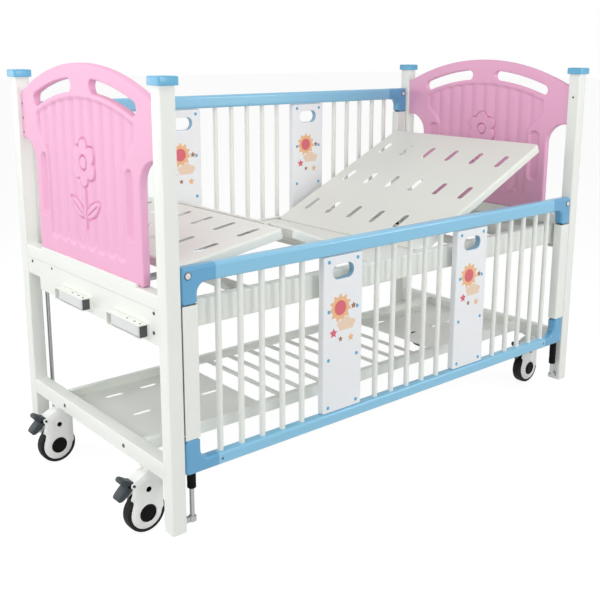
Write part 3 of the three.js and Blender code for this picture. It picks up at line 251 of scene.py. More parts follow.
def place(name, surface, body, finish, replaces=(), sharp=38):
    """Puts a surface in the scene as one piece that rides on a body; edges sharper than the
    given angle stay crisp and the rest are shaded smooth."""
    points, faces = surface
    mesh = bpy.data.meshes.new(name)
    mesh.from_pydata(points.tolist(), [], [row for rows in faces for row in rows.tolist()])
    mesh.polygons.foreach_set("use_smooth", np.ones(len(mesh.polygons), bool))
    mesh.set_sharp_from_angle(angle=math.radians(sharp))
    mesh.materials.append(finish)
    mesh.update()
    piece = bpy.data.objects.new(name, mesh)
    scene.collection.objects.link(piece)
    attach(piece, body)
    if replaces:
        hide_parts(*replaces)
    return piece


def loft(rings, looped=False):
    """A skin over rings of equal point count. A looped skin runs from the last ring back to the
    first; otherwise both end rings close in a fan to their own middle."""
    rings = np.asarray(rings, float)
    count, n = rings.shape[:2]
    ids = np.arange(count * n).reshape(count, n)
    if looped:
        ids = np.vstack([ids, ids[:1]])
    a, b = ids[:-1], ids[1:]
    quads = np.stack([a, np.roll(a, -1, 1), np.roll(b, -1, 1), b], -1).reshape(-1, 4)
    if looped:
        return rings.reshape(-1, 3), [quads]
    ends = np.vstack([
        np.stack([np.roll(ids[0], -1), ids[0], np.full(n, count * n)], -1),
        np.stack([ids[-1], np.roll(ids[-1], -1), np.full(n, count * n + 1)], -1),
    ])
    return np.vstack([rings.reshape(-1, 3), rings[[0, -1]].mean(1)]), [quads, ends]


def rounded(half_u, half_v, radius, steps=5):
    """A rectangle with quarter circles for corners, as points in turn about its middle."""
    turn = (np.arange(4)[:, None] * math.pi / 2 + np.linspace(0, math.pi / 2, steps)).ravel()
    corner = np.repeat([[1, 1], [-1, 1], [-1, -1], [1, -1]], steps, 0)
    arc = radius * np.stack([np.cos(turn), np.sin(turn)], 1)
    return corner * [half_u - radius, half_v - radius] + arc


def laid(flat, at, u, v):
    """Points of a plane drawing, put at a place on two directions of the room."""
    return np.asarray(at, float) + flat[:, :1] * np.asarray(u, float) + flat[:, 1:2] * np.asarray(v, float)


def textured(name, colour, drift, rough, grain_size, grain, scatter=0.06, coat=0.0, metal=0.0, gleam=0.5):
    """A finish whose colour drifts a little over broad patches, whose gloss is broken by fine
    specks, and whose surface has a fine grain as a bump; all three are noise on Object places."""
    finish = bpy.data.materials.new(name)
    finish.use_nodes = True
    work = Shader(finish.node_tree)
    where = work.add("ShaderNodeTexCoord", out=3)
    broad = work.add("ShaderNodeTexNoise", sockets={"Vector": where, "Scale": 2.6, "Detail": 3.0})
    fine = work.add("ShaderNodeTexNoise", sockets={"Vector": where, "Scale": grain_size, "Detail": 2.0})
    specks = work.add("ShaderNodeTexNoise", sockets={"Vector": where, "Scale": 46.0, "Detail": 4.0})
    light = tuple(min(1.0, c * (1 + drift)) for c in colour[:3]) + (1.0,)
    deep = tuple(c * (1 - drift) for c in colour[:3]) + (1.0,)
    tint = work.add("ShaderNodeMix", {"data_type": "RGBA"}, {0: broad, 6: deep, 7: light}, out=2)
    bump = work.add(
        "ShaderNodeBump", sockets={"Strength": grain, "Distance": 0.0006, "Height": fine}
    )
    body = work.add(
        "ShaderNodeBsdfPrincipled",
        sockets={
            "Base Color": tint,
            "Roughness": rough + scatter * (specks - 0.5),
            "Metallic": metal,
            "Coat Weight": coat,
            "Specular IOR Level": gleam,
            "Normal": bump,
        },
    )
    work.add("ShaderNodeOutputMaterial", sockets={"Surface": body})
    return finish


white_paint = textured("white_powder_coat", shade(242, 245, 239), 0.012, 0.34, 620.0, 0.10, 0.10)
corners = ("foot_near", "foot_far", "head_near", "head_far")
for corner in corners:
    low, high = (np.array(c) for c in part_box(f"post_{corner}"))
    middle, half = (low + high) / 2, (high - low) / 2
    outer, inner = rounded(half[0], half[1], 0.004), rounded(half[0] - 0.002, half[1] - 0.002, 0.002)
    rings = [
        laid(line, (middle[0], middle[1], z), (1, 0, 0), (0, 1, 0))
        for line, z in ((outer, low[2]), (outer, high[2]), (inner, high[2]), (inner, low[2]))
    ]
    place(f"corner_post_{corner}", gather(loft(rings, True)), "frame", white_paint,
          (f"post_{corner}",))

# ---------------------------------------------------------------------------------------------
# Post caps: blue moulded plastic, plugged into the tops of the posts, with a soft bevel round a
# slightly crowned top and a thin shadow gap over the tube.
blue_plastic = textured("blue_plastic", shade(94, 174, 213), 0.02, 0.32, 900.0, 0.04, 0.08, 0.05)
for corner in corners:
    low, high = (np.array(c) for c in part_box(f"cap_{corner}"))
    middle = (low + high) / 2
    half, top = (high[0] - low[0]) / 2, high[2]
    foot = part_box(f"post_{corner}")[1][2]
    steps = ((0.0, 0.0010, 0.0030), (0.0010, 0.0, 0.0040), (0.0195, 0.0, 0.0040), (0.0216, 0.0006, 0.0040),
             (0.0229, 0.0020, 0.0036), (0.0235, 0.0042, 0.0030), (0.0240, 0.0150, 0.0030))
    rings = [
        laid(rounded(half - inset, half - inset, radius), (middle[0], middle[1], foot + rise),
             (1, 0, 0), (0, 1, 0))
        for rise, inset, radius in steps
    ]
    place(f"post_cap_{corner}", gather(loft(rings)), "frame", blue_plastic,
          (f"cap_{corner}",))

# ---------------------------------------------------------------------------------------------
# End frames: an upper and a lower square steel tube welded between the posts at each end. The
# upper one has a low lip in front of the pink panel and a folded sheet apron under it.
def prism(profile, u, v, start, stop, ease=0.0):
    """A straight length of one closed profile from start to stop; at eased ends the first and
    last rings draw in by the same distance that they stand off."""
    start, stop = np.asarray(start, float), np.asarray(stop, float)
    run = (stop - start) / np.linalg.norm(stop - start)
    spots = [(start, 1.0), (stop, 1.0)]
    if ease:
        drawn = 1.0 - ease / np.abs(profile).max(0)
        spots = [(start, drawn), (start + run * ease, 1.0), (stop - run * ease, 1.0), (stop, drawn)]
    return loft([laid(profile * scale, at, u, v) for at, scale in spots])


def bent(corners_of, radius, steps=5):
    """A folded line: each inner corner gives way to a quarter turn of the given radius."""
    line = np.asarray(corners_of, float)
    ways = np.diff(line, axis=0)
    ways /= np.linalg.norm(ways, axis=1, keepdims=True)
    turn = np.linspace(0, math.pi / 2, steps)[None, :, None]
    knee = line[1:-1, None] - ways[:-1, None] * radius * (1 - np.sin(turn)) \
        + ways[1:, None] * radius * (1 - np.cos(turn))
    return np.vstack([line[:1], knee.reshape(-1, 2), line[-1:]])


def folded(line, thick, u, v, start, stop):
    """A folded sheet: the line and its copy set aside by the thickness bound the section, which
    runs straight from start to stop; its ends are strips between the two lines."""
    way = np.gradient(line, axis=0)
    way /= np.linalg.norm(way, axis=1, keepdims=True)
    aside = line + thick * np.stack([-way[:, 1], way[:, 0]], 1)
    section = np.vstack([line, aside[::-1]])
    n = len(line)
    points = np.vstack([laid(section, start, u, v), laid(section, stop, u, v)])
    a = np.arange(2 * n)
    walls = np.stack([a, np.roll(a, -1), np.roll(a, -1) + 2 * n, a + 2 * n], -1)
    k = np.arange(n - 1)
    near = np.stack([k + 1, k, 2 * n - 1 - k, 2 * n - 2 - k], -1)
    return points, [walls, near, near[:, ::-1] + 2 * n]


def lathe(profile, at, axis, sides=24):
    """A turned piece: each (radius, height) of the profile becomes a circle round the axis."""
    axis = np.asarray(axis, float) / np.linalg.norm(axis)
    u = np.cross(axis, (0.0, 1.0, 0.0) if abs(axis[1]) < 0.9 else (1.0, 0.0, 0.0))
    u /= np.linalg.norm(u)
    v = np.cross(axis, u)
    turn = np.linspace(0, 2 * math.pi, sides, endpoint=False)
    circle = np.cos(turn)[:, None] * u + np.sin(turn)[:, None] * v
    profile = np.asarray(profile, float)
    rings = np.asarray(at, float) + profile[:, 0, None, None] * circle + profile[:, 1, None, None] * axis
    return loft(rings)


def screw_head(at, axis, radius, rise):
    """A domed screw head with a shallow socket turned into its crown."""
    return lathe([(radius, 0.0), (radius, 0.35 * rise), (0.86 * radius, 0.8 * rise), (0.6 * radius, rise),
                  (0.42 * radius, rise), (0.36 * radius, 0.45 * rise), (0.02 * radius, 0.42 * rise)],
                 at, axis, 16)


zinc = textured("zinc_screws", shade(92, 95, 97), 0.06, 0.34, 800.0, 0.05, 0.12, 0.0, 0.9)
for end, sign in (("foot", -1), ("head", 1)):
    low, high = (np.array(c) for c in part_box(f"end_bottom_rail_{end}"))
    mid, half = (low + high) / 2, (high - low) / 2
    rail = prism(rounded(half[0], half[2], 0.004), (1, 0, 0), (0, 0, 1),
                 (mid[0], low[1], mid[2]), (mid[0], high[1], mid[2]))
    place(f"lower_end_rail_{end}", gather(rail), "frame", white_paint,
          (f"end_bottom_rail_{end}",))
    face = low[0] if sign < 0 else high[0]
    heads = [screw_head((face, y, mid[2]), (sign, 0, 0), 0.0065, 0.002) for y in (-0.195, 0.195)]
    place(f"lower_rail_screws_{end}", gather(*heads), "frame", zinc)

    low, high = (np.array(c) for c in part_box(f"end_top_rail_{end}"))
    face = low[0] if sign < 0 else high[0]
    rail_foot, rail_top = 0.697, 0.739
    tube = prism(rounded(0.021, 0.021, 0.004), (1, 0, 0), (0, 0, 1),
                 (face - sign * 0.021, low[1], 0.718), (face - sign * 0.021, high[1], 0.718))
    lip = prism(rounded(0.00525, 0.007, 0.002), (1, 0, 0), (0, 0, 1),
                (face - sign * 0.00525, -0.306, 0.742), (face - sign * 0.00525, 0.306, 0.742), 0.002)
    skin = face - sign * 0.002
    notch = high[1] - (0.086 if end == "foot" else 0.0)
    apron = []
    for drop, start, stop in ((0.100, low[1], notch), (0.058, notch, high[1])):
        line = bent([(0.0, 0.0), (0.0, -drop), (0.015, -drop)], 0.004)
        if stop > start:
            apron.append(folded(line, 0.0025, (-sign, 0, 0), (0, 0, 1), (skin, start, rail_foot), (skin, stop, rail_foot)))
    if end == "head":
        place("upper_end_rail_head", gather(tube, lip, *apron), "frame", white_paint,
              ("end_top_rail_head",))
    else:
        place("upper_end_rail_foot", gather(tube, lip), "frame", white_paint,
              ("end_top_rail_foot",))
        plates = []
        for y in (0.134, -0.201):
            plates.append(prism(rounded(0.098, 0.025, 0.004), (0, 1, 0), (0, 0, 1),
                                (face - 0.0005, y - 0.072, 0.631), (face + 0.003, y - 0.072, 0.631), 0.0006))
            plates.append(lathe([(0.016, 0.0), (0.016, 0.014), (0.0145, 0.0155)], (face + 0.0055, y, 0.631),
                                (1, 0, 0)))
        place("foot_apron_sheet", gather(*apron, *plates), "frame", white_paint,
              ("foot_apron",))
    heads = [
        screw_head((face - sign * 0.002, y, z), (sign, 0, 0), radius, 0.0018)
        for y, z, radius in ((0.384, 0.686, 0.0055), (0.236, 0.688, 0.004), (-0.393, 0.686, 0.0055),
                             (-0.390, 0.630, 0.0055))
    ]
    place(f"apron_screws_{end}", gather(*heads), "frame", zinc)
    bed_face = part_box(f"post_{end}_near")[0 if sign > 0 else 1][0]
    heads = [screw_head((bed_face, y, 1.202), (-sign, 0, 0), 0.0042, 0.0012) for y in (-0.441, 0.441)]
    place(f"post_screws_{end}", gather(*heads), "frame", zinc)

# ---------------------------------------------------------------------------------------------
# End panels: pink blow-moulded plastic, held between the posts by screws in their sides. Both
# faces have a recessed field of upright reeds, two oblong recesses and an embossed flower.
def moulding(us, vs, rim, edge, front=None, back=None, thick=0.0):
    """A plate on the grid us by vs. Cells whose middles have rim(u, v) below zero are kept, the
    points round them slide along its slope onto its zero line, and each of those points carries a
    section of (out, down) steps over the edge, from the front face to the back one. front and back
    give the depth of each face at (u, v)."""
    grid_u, grid_v = np.meshgrid(us, vs, indexing="ij")
    flat = np.stack([grid_u.ravel(), grid_v.ravel()], 1)
    ids = np.arange(len(flat)).reshape(grid_u.shape)
    mid_u, mid_v = (us[1:] + us[:-1]) / 2, (vs[1:] + vs[:-1]) / 2
    keep = rim(*np.meshgrid(mid_u, mid_v, indexing="ij")) < 0
    cells = np.stack([ids[:-1, :-1], ids[1:, :-1], ids[1:, 1:], ids[:-1, 1:]], -1)[keep]
    sides = np.stack([cells, np.roll(cells, -1, 1)], -1).reshape(-1, 2)
    _, spot, count = np.unique(np.sort(sides, 1) @ [len(flat), 1], return_inverse=True, return_counts=True)
    border = sides[count[spot.ravel()] == 1]
    on = np.unique(border)
    tiny = 1e-6
    for _ in range(5):
        u, v = flat[on].T
        slope = np.stack([rim(u + tiny, v) - rim(u - tiny, v), rim(u, v + tiny) - rim(u, v - tiny)], 1)
        slope /= 2 * tiny
        size = np.maximum((slope ** 2).sum(1), 1e-6)
        flat[on] -= (rim(u, v) / size)[:, None] * slope
    normal = slope / np.sqrt(size)[:, None]
    used = np.unique(cells)
    face_id = np.full(len(flat), -1)
    face_id[used] = np.arange(len(used))
    u, v = flat[used].T
    top = np.stack([u, v, np.zeros_like(u) if front is None else front(u, v)], 1)
    base = np.stack([u, v, np.full_like(u, thick) if back is None else back(u, v)], 1)
    u, v = flat[on].T
    steps = edge(u, v, normal)[1:-1]
    walls = np.concatenate([flat[on] + steps[:, :, :1] * normal, steps[:, :, 1:]], -1)
    n, k = len(used), len(on)
    on_id = np.full(len(flat), -1)
    on_id[on] = np.arange(k)
    levels = np.vstack([face_id[on][None], n + np.arange(len(steps) * k).reshape(-1, k),
                        (n + len(steps) * k + face_id[on])[None]])
    p, q = on_id[border[:, 0]], on_id[border[:, 1]]
    strips = np.stack([levels[:-1, q], levels[:-1, p], levels[1:, p], levels[1:, q]], -1).reshape(-1, 4)
    cells = face_id[cells]
    points = np.vstack([top, walls.reshape(-1, 3), base])
    return points, [cells, strips, cells[:, ::-1] + n + len(steps) * k]


def round_edge(thick, radius, steps=4):
    """Section over a moulded edge: a quarter turn out and down, the straight wall, and a quarter
    turn back in under the other face; the same for every point of the rim."""
    turn = np.linspace(0, math.pi / 2, steps + 1)
    over = np.stack([radius * np.sin(turn), radius * (1 - np.cos(turn))], 1)
    section = np.vstack([over, (over * [1, -1] + [0, thick])[::-1]])
    return lambda u, v, normal: np.repeat(section[:, None], len(u), 1)


def set_in_room(surface, at, u, v, depth):
    """A plate worked out as (u, v, depth), put at a place on three directions of the room."""
    points, faces = surface
    return np.asarray(at, float) + points @ np.array([u, v, depth], float), faces


def boxed(u, v, at_u, at_v, half_u, half_v, radius=0.0):
    """Distance to a rectangle with rounded corners, below zero inside it."""
    a, b = np.abs(u - at_u) - half_u + radius, np.abs(v - at_v) - half_v + radius
    return np.hypot(np.maximum(a, 0), np.maximum(b, 0)) + np.minimum(np.maximum(a, b), 0) - radius


def both(a, b, radius=1e-9):
    """Distance to what two shapes share, with the corner between them rounded."""
    return np.minimum(np.maximum(a, b), -radius) + np.hypot(np.maximum(a + radius, 0), np.maximum(b + radius, 0))


def either(a, b, radius=1e-9):
    """Distance to two shapes together, with the inner corner between them filleted."""
    return np.maximum(np.minimum(a, b), radius) - np.hypot(np.maximum(radius - a, 0), np.maximum(radius - b, 0))


def soft(value, width):
    """Nought to one over a width, with level ends: 3t2 - 2t3 of the clipped share."""
    t = np.clip(value / width + 0.5, 0, 1)
    return t * t * (3 - 2 * t)


panel_half, panel_foot_half, panel_foot, panel_notch, panel_apex = 0.4175, 0.326, 0.739, 1.095, 1.340
arch_radius, arch_centre = 0.9215, 0.4185


def panel_outline(y, z):
    """The arched panel: a circle over straight sides, less a rounded notch beside each post."""
    y = np.abs(y)
    arch = np.hypot(y, z - arch_centre) - arch_radius
    body = both(both(arch, y - panel_half, 0.004), panel_foot - z)
    notch = boxed(y, z, panel_foot_half + 0.5, panel_notch - 0.5, 0.5, 0.5, 0.080)
    return both(body, -notch, 0.010)


def handle_slots(y, z):
    """Distance to the two hand slots: a band about an arc that runs beside the arched edge."""
    angle = np.clip(np.arctan2(np.abs(y), z - arch_centre), math.asin(0.078 / 0.8595), math.asin(0.298 / 0.8595))
    return np.hypot(np.abs(y) - 0.8595 * np.sin(angle), z - arch_centre - 0.8595 * np.cos(angle)) - 0.020


def panel_relief(y, z, half, wall):
    """Depth of a panel's face: a recessed field whose border follows the arch and steps in beside
    the oblong recesses, filled with convex reeds that end in round feet, and a raised flower. The
    recesses are half a width to each side of their middle and slope down over the wall."""
    reed_width = 0.0604
    wide = 0.236 + 0.066 * soft(z - 1.100, 0.090)
    reed = y - reed_width * (np.floor(y / reed_width) + 0.5)
    upper = np.hypot(y, z - arch_centre) - (arch_radius - 0.098)
    lower = np.where(z < 0.822, np.hypot(reed, z - 0.822), 0.0) - reed_width / 2
    field = np.maximum(np.maximum(np.abs(y) - wide, upper), lower)
    hollow = soft(-field - 0.0025, 0.005) * (0.0030 + 0.0060 * (2 * reed / reed_width) ** 2)
    oblong = boxed(np.abs(y), z, 0.268, 0.960, half, 0.099, half)
    hollow = np.maximum(hollow, 0.0105 * soft(-oblong, wall))
    away, turn = np.hypot(y, z - 1.052), np.arctan2(y, z - 1.052)
    fold = np.abs(turn - math.pi / 3 * np.round(turn / (math.pi / 3)))
    petals = np.hypot(away * np.cos(fold) - 0.046, away * np.sin(fold)) - 0.0255
    stem = np.maximum(np.abs(y) - 0.0065, np.abs(z - 0.915) - 0.062)
    along = (np.abs(y) - 0.048) * 0.866 + (z - 0.915) * 0.5
    across = (z - 0.915) * 0.866 - (np.abs(y) - 0.048) * 0.5
    leaves = (np.hypot(along / 0.046, across / 0.018) - 1) * 0.018
    motif = np.minimum(np.minimum(petals, stem), leaves)
    motif = np.minimum(motif, away - 0.030)
    raised = soft(-motif, 0.004)
    hollow = hollow * (1 - raised) + 0.0006 * raised
    lines = np.minimum(np.abs(motif - 0.0018), np.abs(away - 0.0215))
    lines = np.minimum(lines, np.where(leaves < -0.005, np.abs(across) + 0.0008, 1.0))
    cut = soft(0.0022 - lines, 0.0026)
    return np.maximum(hollow, 0.0100 * cut)


pink_plastic = textured("pink_plastic", shade(237, 171, 206), 0.018, 0.50, 1100.0, 0.06, 0.08, gleam=1.0)
for end, sign in (("foot", -1), ("head", 1)):
    low, high = (np.array(c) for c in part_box(f"end_panel_{end}"))
    face, deep = (low[0], high[0] - low[0]) if sign < 0 else (high[0], high[0] - low[0])
    outer_us = 0.1208 + np.arange(1, 60) * 0.0604 / 12
    us = np.concatenate([-outer_us[::-1], np.linspace(-0.1208, 0.1208, 113), outer_us])
    vs = np.concatenate([np.linspace(panel_foot, 0.85, 22)[:-1], np.linspace(0.85, 1.13, 128)[:-1],
                         np.linspace(1.13, panel_apex, 44)])
    plate = moulding(
        us, vs,
        lambda y, z: np.maximum(panel_outline(y, z) + 0.005, 0.005 - handle_slots(y, z)),
        round_edge(deep, 0.005),
        lambda y, z: panel_relief(y, z, 0.0150, 0.007),
        lambda y, z: deep - panel_relief(y, z, 0.0205, 0.010), deep,
    )
    plate = set_in_room(plate, (face, 0, 0), (0, 1, 0), (0, 0, 1), (-sign, 0, 0))
    place(f"pink_end_panel_{end}", gather(plate), "frame", pink_plastic,
          (f"end_panel_{end}",), 60)
    heads = [
        screw_head((face, y, z), (sign, 0, 0), 0.0032, 0.0012)
        for y in (-0.407, 0.407) for z in (1.114, 1.160, 1.206)
    ]
    place(f"panel_screws_{end}", gather(*heads), "frame", zinc)

# ---------------------------------------------------------------------------------------------
# Bed frame: two folded channel beams along the sides with channels welded across under the deck,
# and a pair of lugs for the calf stay; steel sheet, powder coated with the rest.
low, high = (np.array(c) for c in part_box("bed_frame"))
centre_x = (low[0] + high[0]) / 2
bars = []
for side in (-1, 1):
    line = bent([(0.385, 0.706), (0.413, 0.706), (0.413, 0.628), (0.385, 0.628)], 0.005)
    bars.append(folded(line, -0.0025, (0, side, 0), (0, 0, 1), (low[0], 0, 0), (high[0], 0, 0)))
    bars.append(prism(rounded(0.012, 0.008, 0.004), (1, 0, 0), (0, 0, 1),
                      (centre_x - 0.586, side * 0.2406, 0.656), (centre_x - 0.586, side * 0.2466, 0.656)))
    bars.append(lathe([(0.004, -0.0125), (0.004, 0.0125)], (centre_x - 0.592, side * 0.2436, 0.656), (0, 1, 0), 14))
for x in (-0.889, -0.565, 0.001, 0.4855, 0.889):
    line = bent([(-0.017, 0.648), (-0.017, 0.674), (0.017, 0.674), (0.017, 0.648)], 0.004)
    bars.append(folded(line, -0.0025, (1, 0, 0), (0, 0, 1), (centre_x + x, -0.4115, 0), (centre_x + x, 0.4115, 0)))
place("bed_frame_channels", gather(*bars), "frame", white_paint, ("bed_frame",))

# ---------------------------------------------------------------------------------------------
# Deck: four sections of folded sheet steel with rows of punched oblong slots, a rolled edge and
# flanges turned down at the sides. They hinge on rods through welded eyes; levers drive two.
deck_paint = textured("deck_powder_coat", shade(240, 241, 233), 0.012, 0.38, 560.0, 0.10, 0.10)
deck_half, sheet, bend, corner_radius = 0.382, 0.002, 0.006, 0.018


def deck_sheet(first, last, rows, flange_first, flange_last):
    """One section: a rectangle with round corners and rows of slots; over the rim the sheet bends
    down by its flange, which is deep at the sides and at a free end and shallow at a hinge."""
    slots = [(r, y) for r in rows for y in (-0.310, -0.186, -0.062, 0.062, 0.186, 0.310)]
    mid, half = (first + last) / 2, (last - first) / 2

    def outline(u, v):
        return boxed(u, v, mid, 0, half, deck_half, corner_radius)

    def holes(u, v):
        gap = np.full(np.broadcast(u, v).shape, 1.0)
        for r, y in slots:
            gap = np.minimum(gap, boxed(u, v, r, y, 0.042, 0.011, 0.011))
        return gap

    def edge(u, v, normal):
        turn = np.linspace(0, math.pi / 2, 4)
        drop = np.where(normal[:, 0] > 0.7, flange_last, np.where(normal[:, 0] < -0.7, flange_first, 0.029))
        over = np.stack([bend * np.sin(turn), bend * (1 - np.cos(turn))], 1)
        under = np.stack([(bend - sheet) * np.sin(turn), sheet + (bend - sheet) * (1 - np.cos(turn))], 1)[::-1]
        flange = np.concatenate([
            np.repeat(over[:, None], len(u), 1),
            np.stack([np.full_like(drop, bend), drop], 1)[None],
            np.stack([np.full_like(drop, bend - sheet), drop], 1)[None],
            np.repeat(under[:, None], len(u), 1),
        ])
        share = np.linspace(0, math.pi, len(flange))
        punched = np.stack([0.5 * sheet * np.sin(share), 0.5 * sheet * (1 - np.cos(share))], 1)
        at_rim = (outline(u, v) + bend > -1e-4)[None, :, None]
        return np.where(at_rim, flange, np.repeat(punched[:, None], len(u), 1))

    us = np.linspace(first, last, max(8, int((last - first) / 0.0045)))
    vs = np.linspace(-deck_half, deck_half, 180)
    return moulding(us, vs, lambda u, v: np.maximum(outline(u, v) + bend, 0.001 - holes(u, v)), edge, None, None, sheet)


def lever(sign, y, flat):
    """A drive lever cut from plate: its outline runs from the sheet round the hinge to the pin."""
    pin = np.array([0.090 * math.sin(flat), -0.090 * math.cos(flat)])
    boss = 0.010
    outline = np.array([
        (sign * 0.0675, 0.007), (sign * 0.004, 0.007), (-sign * 0.0062, 0.0), (pin[0] - sign * boss, pin[1]),
        (pin[0] - sign * boss / 2, pin[1] - boss), (pin[0] + sign * boss / 2, pin[1] - boss),
        (pin[0] + sign * boss, pin[1]), (sign * 0.027, -0.027),
    ])
    return outline, pin, (y + 0.0052, y + 0.0112)


def tilted(at, along, up):
    """A section's place in the room and its directions: along it and straight up from it."""
    return np.asarray(at, float), np.asarray(along, float), np.asarray(up, float)


back_angle, thigh_angle, calf_angle = np.radians([25.3, 23.6, 9.0])
hinge_z = 0.696
back_at = (centre_x + 0.108, 0, hinge_z)
thigh_at = (centre_x - 0.106, 0, hinge_z)
knee_at = (thigh_at[0] - 0.392 * math.cos(thigh_angle), 0, hinge_z + 0.392 * math.sin(thigh_angle))
sections = {
    "seat": ((centre_x + 0.001, 0, hinge_z), (1, 0, 0), (0, 0, 1)),
    "back": (back_at, (math.cos(back_angle), 0, math.sin(back_angle)), (-math.sin(back_angle), 0, math.cos(back_angle))),
    "thigh": (thigh_at, (-math.cos(thigh_angle), 0, math.sin(thigh_angle)),
              (math.sin(thigh_angle), 0, math.cos(thigh_angle))),
    "calf": (knee_at, (-math.cos(calf_angle), 0, -math.sin(calf_angle)),
             (-math.sin(calf_angle), 0, math.cos(calf_angle))),
}
sheets = {
    "seat": (-0.100, 0.100, (), 0.009, 0.009, "frame"),
    "back": (0.004, 0.755, (0.139, 0.371, 0.605), 0.009, 0.029, "back"),
    "thigh": (0.004, 0.372, (0.196,), 0.009, 0.009, "thigh"),
    "calf": (0.020, 0.390, (0.100, 0.255), 0.009, 0.029, "calf"),
}
for name, (first, last, rows, flange_first, flange_last, body) in sheets.items():
    at, along, up = tilted(*sections[name])
    top = at + up * 0.008
    parts = [set_in_room(deck_sheet(first, last, rows, flange_first, flange_last),
                         top, along, (0, 1, 0), -up)]
    if name in ("back", "thigh"):
        flat = -math.radians(35.0) if name == "back" else -math.radians(17.5)
        outline, pin, span = lever(1, 0.134 if name == "back" else -0.201, flat)
        parts.append(loft([at + outline[:, :1] * along + outline[:, 1:] * up + (0, y, 0) for y in span]))
        parts.append(lathe([(0.004, 0.0), (0.004, 0.016)], at + pin[0] * along + pin[1] * up + (0, span[0] - 0.0132, 0),
                           (0, 1, 0), 14))
    if name == "thigh":
        rod = np.asarray(knee_at)
        parts.append(lathe([(0.003, -0.308), (0.003, 0.308)], rod, (0, 1, 0), 14))
    if name == "seat":
        parts += [lathe([(0.003, -0.308), (0.003, 0.308)], spot, (0, 1, 0), 14) for spot in (back_at, thigh_at)]
    hinge = {"back": 0.286, "thigh": 0.286, "calf": 0.286}.get(name)
    if hinge:
        eye = prism(rounded(0.0052, 0.0052, 0.005, 4), along, up, at + (0, hinge - 0.004, 0), at + (0, hinge + 0.004, 0))
        arm = prism(rounded(0.014, 0.003, 0.001, 3), along, up, at + 0.016 * along + 0.0035 * up + (0, hinge - 0.004, 0),
                    at + 0.016 * along + 0.0035 * up + (0, hinge + 0.004, 0))
        parts += [eye, arm] + [(points * [1, -1, 1], faces) for points, faces in (eye, arm)]
    place(f"{name}_deck_sheet", gather(*parts), body, deck_paint, (f"{name}_section",), 50)

# ---------------------------------------------------------------------------------------------
# Calf stay: a bail of two flat arms and a round bar, which swings on the bed frame's lugs and
# carries the calf section from below.
at, along, up = tilted(*sections["calf"])
bar_at = at + 0.340 * along - 0.0009 * up
pivot_at = np.array([centre_x - 0.592, 0, 0.656])
run = (bar_at - pivot_at) / np.linalg.norm(bar_at - pivot_at)
rise = np.array([-run[2], 0, run[0]])
reach = np.linalg.norm(bar_at - pivot_at)
parts = [lathe([(0.0055, -0.250), (0.006, -0.2495), (0.006, 0.2495), (0.0055, 0.250)], bar_at, (0, 1, 0), 18)]
for side in (-1, 1):
    middle = pivot_at + run * reach / 2 + (0, side * 0.250, 0)
    parts.append(prism(rounded(reach / 2 + 0.005, 0.005, 0.0049, 6), run, rise,
                       middle - (0, 0.003, 0), middle + (0, 0.003, 0)))
place("calf_stay_bail", gather(*parts), "stay", white_paint, ("calf_stay",))

